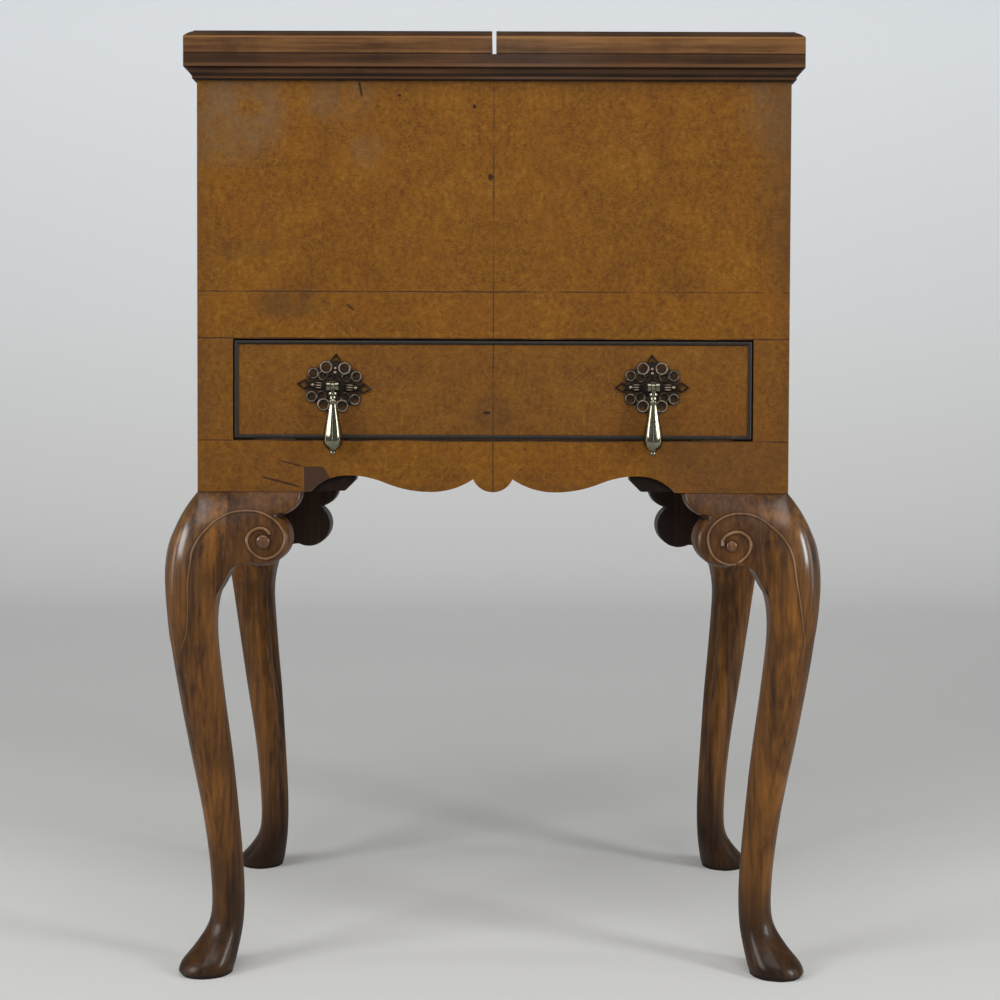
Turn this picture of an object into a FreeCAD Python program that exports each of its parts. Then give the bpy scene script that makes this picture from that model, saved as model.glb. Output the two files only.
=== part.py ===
import FreeCAD, Part
import math
import os

from FreeCAD import Vector

# A walnut cellarette: a lined case with a bottle well under two hinged lids and a drawer below,
# on four cabriole legs. Millimetres; the floor is z = 0, +Z is up and the front faces -Y.
# Reaches on the legs and brackets are measured outwards from the faces of the case.

# ---- driving dimensions -------------------------------------------------------------------------
# Overall build
leg_height = 472.0            # floor to the underside of the case
case_height = 396.0
case_width = 572.0
case_depth = 400.0
cornice_height = 23.5
cornice_overhang = 11.2
lid_thickness = 23.2
lid_rest_gap = 0.3            # running gap between the closed lids and the cornice
lid_meeting_gap = 4.0         # gap between the two lids along the centre line

# Boards of the case
board = 15.0                  # front, sides and cornice rails
back_board = 10.0
apron_height = 50.0
stile_width = 34.5            # upright on each side of the drawer
drawer_opening_height = 98.0
frieze_height = 46.0          # rail between the drawer and the front panel
runner_thickness = 14.0
runner_width = 35.0
guide_height = 26.0
kicker_thickness = 20.0
floor_board = 12.0            # floor of the bottle well
stop_width = 18.0
stop_depth = 17.7

# Shaped lower edge of the apron: rises above the underside of the case; places from the centre,
# as shares of the way out to the shoulder
apron_shoulder_in = 109.0     # from the corner of the case to where the shaping starts
arch_crest_share = 0.794
arch_rise = 16.0
ogee_share = 0.593
ogee_rise = 9.0
wave_low_share = 0.339
cusp_share = 0.108
cusp_rise = 12.5

# Bottle divisions
divider_height = 110.0
divider_board = 6.0
divider_end_play = 0.5
halving_play = 0.2
bottle_columns = 4
bottle_rows = 3

# Legs
leg_block = 31.0              # square block at the top of each leg
leg_seat_depth = 36.0         # stub that rises inside the corner of the case
leg_facets = 16               # spokeshaved flats around a leg
knee_share = 0.835            # height of the fullest part of the knee, as a share of the leg
knee_reach = 31.6
ankle_reach = -9.8
toe_reach = 20.0
ankle_inset = -42.3           # reach of the inner side at the ankle
calf_inset = -19.1            # reach of the inner side just below the bracket
glue_gap = 0.15               # glue line between a bracket and its leg

# Brackets: places are measured inwards from the leg block and down from the case
bracket_depth = 24.0          # thickness behind the face of the case
bracket_fade = 16.0           # how far the knee's bulge fades back at the bracket's tip
bracket_flat = 5.0            # longest flat left by the saw on a bracket's curves
upper_lobe_radius = 22.0
upper_lobe_end = 70.0
scroll_radius = 25.5
scroll_centre_in = 34.5
scroll_centre_down = 45.0
bracket_heel_down = 77.0      # where the underside of the bracket meets the leg
rear_bracket_drop = 15.0      # the plain rear brackets hang lower than the carved front ones

# Blocks glued behind the front and back rails
glue_block_length = 110.0
glue_block_depth = 24.0
glue_block_height = 30.0
glue_block_chamfer = 11.0

# Cornice and lid mouldings
cornice_fascia = 12.4
cornice_quirk = 1.5
cornice_bead = 4.2
lid_fascia = 16.6
lid_quirk = 0.8
lid_bevel_width = 9.0
lid_top_fillet = 0.7
lid_lipping = 26.0            # width of the moulded edge around each lid

# Drawer
drawer_front_thickness = 18.0
drawer_side_thickness = 10.0
drawer_gap = 1.5              # shadow gap around the drawer front
drawer_play = 0.4             # running play of the drawer sides
drawer_bottom_thickness = 6.0
drawer_bottom_height = 9.0    # height of the groove above the lower edge of the sides
drawer_groove = 4.0
drawer_stop_gap = 0.3
dovetail_count = 3
dovetail_width = 19.0
dovetail_flare = 3.0
dovetail_lap = 0.5            # wood left between the cock bead and the dovetails
dovetail_play = 0.1
cock_bead_width = 4.0
cock_bead_depth = 10.0
cock_bead_stand = 1.8

# Pulls
pull_share = 0.611            # place of a pull, as a share of the way out to the stile
plate_thickness = 1.8
plate_wall = 1.9
plate_tip_reach = 36.5
plate_tip_width = 10.5
plate_tip_length = 14.5
plate_boss_radius = 11.8
plate_ring_sides = 9
left_plate_turn = 4.0         # the left plate has slipped round a little
post_radius = 2.5
post_head_width = 11.4
knuckle_radius = 5.2
post_sides = 12
post_collar_radius = 5.6
pin_stand = 13.4              # pin axis in front of the drawer
pin_radius = 1.25
pin_play = 0.08
tang_thickness = 4.2
tang_play = 0.3
drop_length = 65.5
drop_radius = 9.6
turned_sides = 12
drop_flutes = 10
flute_share = 0.12            # depth of a flute as a share of the radius there
nut_radius = 6.0
nut_thickness = 3.5

# Hinges
hinge_length = 50.0
hinge_place_share = 0.625     # centre of a hinge, as a share of half the depth
hinge_leaf_width = 24.0
hinge_leaf_thickness = 1.35
hinge_knuckle_radius = 2.5
hinge_pin_radius = 1.2
hinge_pin_play = 0.06
hinge_axis_stand = 1.0        # pin axis outside the edge of the cornice
hinge_clearance = 0.3
hinge_knuckles = 3
hinge_knuckle_sides = 12

# ---- levels and faces worked out from them ------------------------------------------------------
half_width = case_width / 2
half_depth = case_depth / 2
inner_x = half_width - board
inner_front = -half_depth + board
inner_back = half_depth - back_board
case_base = leg_height
case_top = case_base + case_height
cornice_top = case_top + cornice_height
lid_base = cornice_top + lid_rest_gap
lid_top = lid_base + lid_thickness
top_x = half_width + cornice_overhang
top_front = -half_depth - cornice_overhang
opening_base = case_base + apron_height
opening_top = opening_base + drawer_opening_height
frieze_top = opening_top + frieze_height
opening_x = half_width - stile_width
kicker_top = opening_top + kicker_thickness
well_base = kicker_top + floor_board
block_x = half_width - leg_block
block_y = half_depth - leg_block
pin_z = opening_base + drawer_opening_height * 0.53
pull_x = opening_x * pull_share
hinge_axis_x = -top_x - hinge_axis_stand
hinge_axis_z = cornice_top + lid_rest_gap / 2

os.makedirs("parts", exist_ok=True)


# ---- small tools --------------------------------------------------------------------------------
def save(name, shape):
    shape.exportStep("parts/" + name + ".step")


def box(x0, x1, y0, y1, z0, z1):
    return Part.makeBox(x1 - x0, y1 - y0, z1 - z0, Vector(x0, y0, z0))


def other_side(shape):
    """The same piece on the right of the centre line."""
    return shape.mirror(Vector(0, 0, 0), Vector(1, 0, 0))


def other_end(shape):
    """The same piece at the back of the case."""
    return shape.mirror(Vector(0, 0, 0), Vector(0, 1, 0))


def round_the_corner(shape):
    """The same piece on the side of the case, mirrored in the diagonal of its front left corner."""
    return shape.mirror(Vector(-half_width, -half_depth, 0), Vector(1, -1, 0))


def flats_around(radius, sides, start, along):
    """Prism about an axis, its corners on the radius."""
    facing = FreeCAD.Rotation(Vector(0, 0, 1), along)
    turns = [2 * math.pi * n / sides for n in range(sides)]
    rim = [start + facing.multVec(Vector(radius * math.cos(a), radius * math.sin(a), 0)) for a in turns]
    return polygon(rim).extrude(along)


def loop_wire(edges):
    return Part.Wire([edge.toShape() if hasattr(edge, "toShape") else edge for edge in edges])


def polygon(points):
    return Part.Face(Part.makePolygon(list(points) + [points[0]]))


def level_arc(level, end):
    """Arc in an XZ plane that starts level at one point and runs to the other."""
    across = end.x - level.x
    rise = end.z - level.z
    radius = (across ** 2 + rise ** 2) / (2 * rise)
    half = math.asin(across / radius) / 2
    middle = level + Vector(radius * math.sin(half), 0, radius * (1 - math.cos(half)))
    return Part.Arc(level, middle, end)


def flat_loft(sections):
    """Solid through level sections whose matching edges are parallel, so that every facet is flat."""
    faces = [polygon(sections[0]), polygon(sections[-1])]
    for low, high in zip(sections, sections[1:]):
        for n in range(len(low)):
            faces.append(polygon([low[n - 1], low[n], high[n], high[n - 1]]))
    solid = Part.Solid(Part.Shell(faces))
    if solid.Volume < 0:
        solid.reverse()
    return solid


# ---- case ---------------------------------------------------------------------------------------
def apron_rail():
    """Front rail under the drawer, its lower edge cut in arches, waves and a centre lobe."""
    def at(x, rise):
        return Vector(x, -half_depth, case_base + rise)

    shoulder_x = half_width - apron_shoulder_in
    shoulder = at(-shoulder_x, 0)
    crest = at(-shoulder_x * arch_crest_share, arch_rise)
    ogee = at(-shoulder_x * ogee_share, ogee_rise)
    wave_low = at(-shoulder_x * wave_low_share, 0)
    cusp = at(-shoulder_x * cusp_share, cusp_rise)
    half = [Part.LineSegment(at(-half_width, 0), shoulder), level_arc(crest, shoulder),
            level_arc(crest, ogee), level_arc(wave_low, ogee), level_arc(wave_low, cusp),
            level_arc(at(0, 0), cusp)]
    edges = [edge.toShape() for edge in half]
    edges += [other_side(edge) for edge in edges]
    edges.append(Part.LineSegment(at(half_width, 0), at(half_width, apron_height)).toShape())
    edges.append(Part.LineSegment(at(half_width, apron_height), at(-half_width, apron_height)).toShape())
    edges.append(Part.LineSegment(at(-half_width, apron_height), at(-half_width, 0)).toShape())
    outline = Part.Wire(Part.sortEdges(edges)[0])
    return Part.Face(outline).extrude(Vector(0, board, 0))


def make_case():
    save("front_panel", box(-half_width, half_width, -half_depth, inner_front, frieze_top, case_top))
    save("frieze_rail", box(-half_width, half_width, -half_depth, inner_front, opening_top, frieze_top))
    save("apron_rail", apron_rail())
    stile = box(-half_width, -opening_x, -half_depth, inner_front, opening_base, opening_top)
    save("left_stile", stile)
    save("right_stile", other_side(stile))
    side = box(-half_width, -inner_x, inner_front, half_depth, case_base, case_top)
    save("left_side", side)
    save("right_side", other_side(side))
    save("back_panel", box(-inner_x, inner_x, inner_back, half_depth, case_base, case_top))
    save("well_floor", box(-inner_x, inner_x, inner_front, inner_back, kicker_top, well_base))


def make_drawer_carriage():
    """Runners, guides, kickers and stops that carry the drawer inside the case."""
    runner_x = inner_x - runner_width
    runner = box(-inner_x, -runner_x, inner_front, inner_back, opening_base - runner_thickness, opening_base)
    save("left_runner", runner)
    save("right_runner", other_side(runner))
    guide = box(-inner_x, -opening_x, inner_front, inner_back, opening_base, opening_base + guide_height)
    save("left_guide", guide)
    save("right_guide", other_side(guide))
    kicker = box(-inner_x, -runner_x, inner_front, inner_back, opening_top, kicker_top)
    save("kickers", Part.makeCompound([kicker, other_side(kicker)]))
    stop = box(-opening_x, -opening_x + stop_width, inner_back - stop_depth, inner_back, opening_base,
               opening_base + guide_height)
    save("drawer_stops", Part.makeCompound([stop, other_side(stop)]))


def make_dividers():
    """Egg-crate boards halved into each other, standing on the floor of the well."""
    depth = inner_back - inner_front
    top = well_base + divider_height
    middle = well_base + divider_height / 2
    slot = divider_board + 2 * halving_play
    column_step = 2 * inner_x / bottle_columns
    row_step = depth / bottle_rows
    across = [-inner_x + column_step * n for n in range(1, bottle_columns)]
    along = [inner_front + row_step * n for n in range(1, bottle_rows)]
    long_boards = []
    for y in along:
        long_board = box(-inner_x + divider_end_play, inner_x - divider_end_play,
                         y - divider_board / 2, y + divider_board / 2, well_base, top)
        for x in across:
            long_board = long_board.cut(box(x - slot / 2, x + slot / 2, y - slot, y + slot,
                                            middle - halving_play, top + 1))
        long_boards.append(long_board)
    cross_boards = []
    for x in across:
        cross_board = box(x - divider_board / 2, x + divider_board / 2, inner_front + divider_end_play,
                          inner_back - divider_end_play, well_base, top)
        for y in along:
            cross_board = cross_board.cut(box(x - slot, x + slot, y - slot / 2, y + slot / 2,
                                              well_base - 1, middle))
        cross_boards.append(cross_board)
    save("long_dividers", Part.makeCompound(long_boards))
    save("cross_dividers", Part.makeCompound(cross_boards))


def glue_block():
    """Long block behind a rail, its free end chamfered."""
    z0 = case_base + glue_gap
    z1 = case_base + glue_block_height
    x0 = -block_x
    x1 = x0 + glue_block_length
    y = inner_front
    face = polygon([Vector(x0, y, z0), Vector(x1, y, z0),
                    Vector(x1 + glue_block_chamfer, y, z0 + glue_block_chamfer),
                    Vector(x1 + glue_block_chamfer, y, z1), Vector(x0, y, z1)])
    return face.extrude(Vector(0, glue_block_depth, 0))


def make_glue_blocks():
    front = glue_block()
    back = other_end(front)
    back.translate(Vector(0, board - back_board, 0))
    save("glue_blocks", Part.makeCompound([front, other_side(front), back, other_side(back)]))


# ---- legs and brackets --------------------------------------------------------------------------
knee_z = leg_height * knee_share
knee_radius = ((leg_height - knee_z) ** 2 + knee_reach ** 2) / (2 * knee_reach)


def knee_curve(z):
    """Reach of the knee: one arc from its fullest point up to the corner of the case."""
    return knee_reach - knee_radius + math.sqrt(knee_radius ** 2 - (z - knee_z) ** 2)


# Profiles run down the leg: each row is (share of the leg's height, reach of that side).
above_knee = (1.0, 0.98, 0.96, 0.92, 0.88)
outer_profile = tuple((share, knee_curve(share * leg_height)) for share in above_knee) + (
    (knee_share, knee_reach), (0.778, 0.95 * knee_reach), (0.678, 0.80 * knee_reach),
    (0.578, 0.58 * knee_reach), (0.477, 0.35 * knee_reach), (0.373, 0.05 * knee_reach),
    (0.271, 0.55 * ankle_reach), (0.144, ankle_reach), (0.095, 0.92 * ankle_reach), (0.064, 0.10 * toe_reach),
    (0.042, 0.48 * toe_reach), (0.024, 0.92 * toe_reach), (0.010, toe_reach), (0.000, 0.86 * toe_reach),
)
inner_profile = (
    (0.840, -leg_block), (0.822, 1.41 * calf_inset), (0.799, 1.22 * calf_inset),
    (0.770, 1.07 * calf_inset), (0.729, calf_inset), (0.678, 1.13 * calf_inset),
    (0.578, 1.34 * calf_inset), (0.477, 0.75 * ankle_inset), (0.373, 0.84 * ankle_inset),
    (0.271, 0.92 * ankle_inset), (0.195, ankle_inset), (0.095, 0.97 * ankle_inset),
    (0.049, 0.89 * ankle_inset), (0.024, 0.84 * ankle_inset), (0.000, 0.76 * ankle_inset),
)
# Roundness of the three kinds of corner, as a share of half the section's width.
nose_profile = ((1.000, 0.12), (0.983, 0.50), (0.962, 0.72), (0.873, 0.86), (0.578, 0.94), (0.373, 0.96),
                (0.080, 0.96), (0.042, 0.80), (0.000, 0.84))
side_profile = ((1.000, 0.05), (0.850, 0.06), (0.799, 0.20), (0.678, 0.62), (0.477, 0.92), (0.373, 0.96),
                (0.000, 0.96))
back_profile = ((1.000, 0.05), (0.850, 0.06), (0.799, 0.50), (0.678, 0.86), (0.477, 0.94), (0.373, 0.96),
                (0.000, 0.96))
section_shares = (1.0, 0.985, 0.965, 0.93, 0.885, knee_share, 0.80, 0.765, 0.71, 0.64, 0.55, 0.45,
                  0.35, 0.25, 0.16, 0.10, 0.07, 0.045, 0.024, 0.009, 0.0)


def along_profile(rows, share):
    """Value at one height on a smooth line through the rows, with no overshoot between them."""
    rows = sorted(rows)
    if share <= rows[0][0]:
        return rows[0][1]
    if share >= rows[-1][0]:
        return rows[-1][1]
    steps = [(b[1] - a[1]) / (b[0] - a[0]) for a, b in zip(rows, rows[1:])]
    slopes = [steps[0]]
    for before, after in zip(steps, steps[1:]):
        same_way = before * after > 0
        slopes.append(2 * before * after / (before + after) if same_way else 0.0)
    slopes.append(steps[-1])
    for n, (low, high) in enumerate(zip(rows, rows[1:])):
        if low[0] <= share <= high[0]:
            span = high[0] - low[0]
            t = (share - low[0]) / span
            rise = (2 * t ** 3 - 3 * t ** 2 + 1) * low[1] + (3 * t ** 2 - 2 * t ** 3) * high[1]
            bend = (t ** 3 - 2 * t ** 2 + t) * slopes[n] + (t ** 3 - t ** 2) * slopes[n + 1]
            return rise + bend * span


def leg_point(out_x, out_y, z):
    """Point at given reaches outside the front left corner of the case."""
    return Vector(-half_width - out_x, -half_depth - out_y, z)


def leg_section(share, heel_drop):
    """Square section with its corners worked round in flats; heel_drop lowers the block's lower end."""
    outer = along_profile(outer_profile, share)
    lowered = share + heel_drop / leg_height * (1 if share > 0.68 else 0)
    inner = along_profile(inner_profile, min(lowered, 1.0))
    half = (outer - inner) / 2
    corners = (
        (outer, outer, along_profile(nose_profile, share)),
        (inner, outer, along_profile(side_profile, min(lowered, 1.0))),
        (inner, inner, along_profile(back_profile, min(lowered, 1.0))),
        (outer, inner, along_profile(side_profile, min(lowered, 1.0))),
    )
    points = []
    z = share * leg_height
    steps = leg_facets // 4 - 1
    for quarter, (x, y, roundness) in enumerate(corners):
        radius = half * roundness
        centre_x = x - math.copysign(radius, x - (outer + inner) / 2)
        centre_y = y - math.copysign(radius, y - (outer + inner) / 2)
        for n in range(steps + 1):
            angle = math.pi / 2 * (quarter + n / steps)
            points.append(leg_point(centre_x + radius * math.cos(angle),
                                    centre_y + radius * math.sin(angle), z))
    return points


def cabriole_leg(heel_drop):
    """Front left leg, with the stub that is let into the corner of the case."""
    leg = flat_loft([leg_section(share, heel_drop) for share in section_shares])
    stub = box(-inner_x, -block_x, inner_front, -block_y, case_base - 1, case_base + leg_seat_depth)
    return leg.fuse(stub).removeSplitter()


def bracket_face(drop):
    """Outline of a front left bracket: a quarter round above, a scroll below and a swept underside."""
    y = -half_depth
    joint_x = -block_x + glue_gap
    top = case_base
    lobe_centre = Vector(-block_x + upper_lobe_end - upper_lobe_radius, y, top - drop)
    scroll = Vector(-block_x + scroll_centre_in, y, top - drop - scroll_centre_down)
    cusp = lobe_centre + Vector(0, 0, -upper_lobe_radius)
    reach = math.hypot(cusp.x - scroll.x, cusp.z - scroll.z)
    cusp_angle = math.asin((cusp.z - scroll.z) / reach)
    cusp = scroll + Vector(scroll_radius * math.cos(cusp_angle), 0, scroll_radius * math.sin(cusp_angle))
    heel_angle = math.radians(-118)
    heel_cusp = scroll + Vector(scroll_radius * math.cos(heel_angle), 0, scroll_radius * math.sin(heel_angle))
    middle_angle = (cusp_angle + heel_angle) / 2
    scroll_middle = scroll + Vector(scroll_radius * math.cos(middle_angle), 0,
                                    scroll_radius * math.sin(middle_angle))
    lobe_end = lobe_centre + Vector(upper_lobe_radius, 0, 0)
    lobe_angle = math.radians(50)
    lobe_middle = lobe_centre + Vector(math.sin(lobe_angle), 0, -math.cos(lobe_angle)) * upper_lobe_radius
    heel = Vector(joint_x, y, top - bracket_heel_down - drop)
    sweep = Vector((heel.x + heel_cusp.x) / 2 - 1.5, y, (heel.z + heel_cusp.z) / 2 + 2.0)
    outline = [Vector(joint_x, y, top)]
    for arc in (Part.Arc(heel, sweep, heel_cusp), Part.Arc(heel_cusp, scroll_middle, cusp),
                Part.Arc(cusp, lobe_middle, lobe_end)):
        flats = math.ceil(arc.length() / bracket_flat)
        outline += arc.toShape().discretize(flats + 1)[:-1]
    outline.append(lobe_end)
    if drop > 0:
        outline.append(Vector(lobe_end.x, y, top))
    return polygon(outline)


def bulge(low):
    """The knee's curve in the leg's own flats, carried across the bracket and fading towards its tip."""
    heights = [share * leg_height for share in section_shares if share * leg_height > low] + [low]
    front = [Vector(-block_x, -half_depth - along_profile(outer_profile, z / leg_height), z) for z in heights]
    back_y = -half_depth + bracket_depth
    outline = front + [Vector(-block_x, back_y, low), Vector(-block_x, back_y, case_base)]
    return polygon(outline).extrude(Vector(upper_lobe_end + 5, bracket_fade, 0))


def knee_bracket(drop):
    face = bracket_face(drop)
    low = case_base - bracket_heel_down - drop - scroll_radius
    flat = face.extrude(Vector(0, bracket_depth, 0))
    face.translate(Vector(0, -knee_reach - 1, 0))
    proud = face.extrude(Vector(0, knee_reach + 1 + bracket_depth / 2, 0)).common(bulge(low))
    return flat.fuse(proud).removeSplitter()


def make_legs():
    front = cabriole_leg(0)
    rear = other_end(cabriole_leg(rear_bracket_drop))
    save("front_left_leg", front)
    save("front_right_leg", other_side(front))
    save("rear_left_leg", rear)
    save("rear_right_leg", other_side(rear))
    carved = knee_bracket(0)
    carved_side = round_the_corner(carved)
    plain = knee_bracket(rear_bracket_drop)
    plain_side = other_end(round_the_corner(plain))
    plain = other_end(plain)
    save("front_left_bracket", carved)
    save("front_right_bracket", other_side(carved))
    save("left_front_side_bracket", carved_side)
    save("right_front_side_bracket", other_side(carved_side))
    save("rear_left_bracket", plain)
    save("rear_right_bracket", other_side(plain))
    save("left_rear_side_bracket", plain_side)
    save("right_rear_side_bracket", other_side(plain_side))


# ---- cornice ------------------------------------------------------------------------------------
def cornice_outline():
    """Points (projection, height) of the cornice moulding, from the case outwards and up."""
    bead_out = 0.36 * cornice_overhang
    step_out = cornice_overhang - cornice_quirk
    step_z = cornice_height - cornice_fascia
    return [(-board, 0), (bead_out - 1, 0), (bead_out, 1), (bead_out, cornice_bead),
            (bead_out + 1, cornice_bead), (bead_out + 2, 0.55 * step_z),
            (0.82 * step_out, 0.86 * step_z), (step_out, step_z - 0.6),
            (step_out, step_z), (cornice_overhang, step_z), (cornice_overhang, cornice_height),
            (-board, cornice_height)]


def plan_prism(points, z0, z1):
    """Upright prism on a plan outline, used to cut mitres."""
    return polygon([Vector(x, y, z0) for x, y in points]).extrude(Vector(0, 0, z1 - z0))


def make_cornice():
    outline = cornice_outline()
    front_run = polygon([Vector(-top_x, -half_depth - out, case_top + up) for out, up in outline])
    front_run = front_run.extrude(Vector(2 * top_x, 0, 0))
    front_plan = [(-top_x, top_front), (top_x, top_front), (inner_x, inner_front), (-inner_x, inner_front)]
    front = front_run.common(plan_prism(front_plan, case_top, cornice_top))
    save("cornice_front", front)
    side_run = polygon([Vector(-half_width - out, top_front, case_top + up) for out, up in outline])
    side_run = side_run.extrude(Vector(0, half_depth - top_front, 0))
    side_plan = [(-top_x, top_front), (-inner_x, inner_front), (-inner_x, half_depth), (-top_x, half_depth)]
    side = side_run.common(plan_prism(side_plan, case_top, cornice_top))
    side = side.cut(hinge_pockets_below())
    save("cornice_left", side)
    save("cornice_right", other_side(side))
    save("cornice_back", box(-inner_x, inner_x, half_depth - board, half_depth, case_top, cornice_top))


# ---- hinges -------------------------------------------------------------------------------------
def hinge_starts():
    centre = half_depth * hinge_place_share
    return (-centre - hinge_length / 2, centre - hinge_length / 2)


def along_hinge(radius, y0, length):
    return Part.makeCylinder(radius, length, Vector(hinge_axis_x, y0, hinge_axis_z), Vector(0, 1, 0))


def leaf_plate(y0, z0, z1):
    return box(hinge_axis_x, hinge_axis_x + hinge_leaf_width, y0, y0 + hinge_length, z0, z1)


def hinge_leaf(y0, z0, z1, first):
    """One leaf with its own knuckles; first is 0 for the leaf that has the end knuckles."""
    step = hinge_length / hinge_knuckles
    leaf = leaf_plate(y0, z0, z1)
    for n in range(hinge_knuckles):
        if n % 2 == first:
            start = y0 + n * step + (hinge_clearance / 2 if n > 0 else 0)
            end = y0 + (n + 1) * step - (hinge_clearance / 2 if n < hinge_knuckles - 1 else 0)
            foot = Vector(hinge_axis_x, start, hinge_axis_z)
            knuckle = flats_around(hinge_knuckle_radius, hinge_knuckle_sides, foot, Vector(0, end - start, 0))
            leaf = leaf.fuse(knuckle)
    for n in range(hinge_knuckles):
        if n % 2 != first:
            start = y0 + n * step - (hinge_clearance / 2 if n > 0 else 1)
            end = y0 + (n + 1) * step + (hinge_clearance / 2 if n < hinge_knuckles - 1 else 1)
            relief = hinge_knuckle_radius + hinge_clearance
            leaf = leaf.cut(box(hinge_axis_x - relief, hinge_axis_x + relief, start, end,
                                hinge_axis_z - relief, hinge_axis_z + relief))
    return leaf


def hinge_pockets_below():
    """Beds for the leaves and knuckles in the cornice."""
    beds = [leaf_plate(y, cornice_top - hinge_leaf_thickness, cornice_top + 1) for y in hinge_starts()]
    beds += knuckle_notches()
    return Part.makeCompound(beds)


def hinge_pockets_above():
    beds = [leaf_plate(y, lid_base - 1, lid_base + hinge_leaf_thickness) for y in hinge_starts()]
    beds += knuckle_notches()
    return Part.makeCompound(beds)


def knuckle_notches():
    return [along_hinge(hinge_knuckle_radius + hinge_clearance, y - hinge_clearance,
                        hinge_length + 2 * hinge_clearance) for y in hinge_starts()]


def make_hinges():
    """Butt hinges; each pin is riveted into the end knuckles of the leaf on the cornice."""
    lower = []
    upper = []
    for y in hinge_starts():
        frame_leaf = hinge_leaf(y, cornice_top - hinge_leaf_thickness, cornice_top, 0)
        lower.append(frame_leaf.fuse(along_hinge(hinge_pin_radius, y, hinge_length)).removeSplitter())
        lid_leaf = hinge_leaf(y, lid_base, lid_base + hinge_leaf_thickness, 1)
        bore = along_hinge(hinge_pin_radius + hinge_pin_play, y - 1, hinge_length + 2)
        upper.append(lid_leaf.cut(bore).removeSplitter())
    lower = Part.makeCompound(lower)
    upper = Part.makeCompound(upper)
    save("frame_leaves", Part.makeCompound([lower, other_side(lower)]))
    save("left_lid_leaves", upper)
    save("right_lid_leaves", other_side(upper))


# ---- lids ---------------------------------------------------------------------------------------
def lid_outline():
    """Points (distance in from the edge, height) of the moulded edge of a lid."""
    shoulder = lid_thickness - lid_top_fillet
    rise = shoulder - lid_fascia
    return [(0, 0), (0, lid_fascia), (lid_quirk, lid_fascia), (lid_quirk, lid_fascia + 0.12 * rise),
            (0.48 * lid_bevel_width, lid_fascia + 0.62 * rise), (0.93 * lid_bevel_width, shoulder),
            (lid_bevel_width, lid_thickness), (lid_lipping, lid_thickness), (lid_lipping, 0)]


def make_lids():
    outline = lid_outline()
    meeting_x = -lid_meeting_gap / 2
    lipping_x = -top_x + lid_lipping
    lipping_y = top_front + lid_lipping
    front_run = polygon([Vector(-top_x, top_front + inset, lid_base + up) for inset, up in outline])
    front_run = front_run.extrude(Vector(top_x + meeting_x, 0, 0))
    front_plan = [(-top_x, top_front), (meeting_x, top_front), (meeting_x, lipping_y), (lipping_x, lipping_y)]
    front = front_run.common(plan_prism(front_plan, lid_base, lid_top))
    end_run = polygon([Vector(-top_x + inset, top_front, lid_base + up) for inset, up in outline])
    end_run = end_run.extrude(Vector(0, half_depth - top_front, 0))
    end_plan = [(-top_x, top_front), (lipping_x, lipping_y), (lipping_x, half_depth), (-top_x, half_depth)]
    end = end_run.common(plan_prism(end_plan, lid_base, lid_top)).cut(hinge_pockets_above())
    panel = box(lipping_x, meeting_x, lipping_y, half_depth, lid_base, lid_top)
    for side, turn in (("left", lambda shape: shape), ("right", other_side)):
        save(side + "_lid_panel", turn(panel))
        save(side + "_lid_front_moulding", turn(front))
        save(side + "_lid_end_moulding", turn(end))


# ---- drawer -------------------------------------------------------------------------------------
drawer_x = opening_x - drawer_gap
drawer_low = opening_base + drawer_gap
drawer_high = opening_top - drawer_gap
drawer_side_x = opening_x - drawer_play
drawer_side_low = opening_base + drawer_play
drawer_side_high = opening_top - 2 * drawer_play
drawer_front_back = -half_depth + drawer_front_thickness
drawer_end = inner_back - stop_depth - drawer_stop_gap
drawer_bottom_z = drawer_side_low + drawer_bottom_height


def dovetails(play):
    """Left side's tails, let into the back of the drawer front; play is added for the sockets."""
    tails = []
    step = (drawer_high - drawer_low) / dovetail_count
    narrow = dovetail_width - 2 * dovetail_flare
    y0 = -half_depth + cock_bead_depth + dovetail_lap - play
    y1 = drawer_front_back
    for n in range(dovetail_count):
        z = drawer_low + step * (n + 0.5)
        tail = polygon([Vector(-drawer_x, y1, z - narrow / 2 - play),
                        Vector(-drawer_x, y0, z - dovetail_width / 2 - play),
                        Vector(-drawer_x, y0, z + dovetail_width / 2 + play),
                        Vector(-drawer_x, y1, z + narrow / 2 + play)])
        tails.append(tail.extrude(Vector(drawer_side_thickness - drawer_gap + drawer_play + play, 0, 0)))
    return tails


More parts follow.
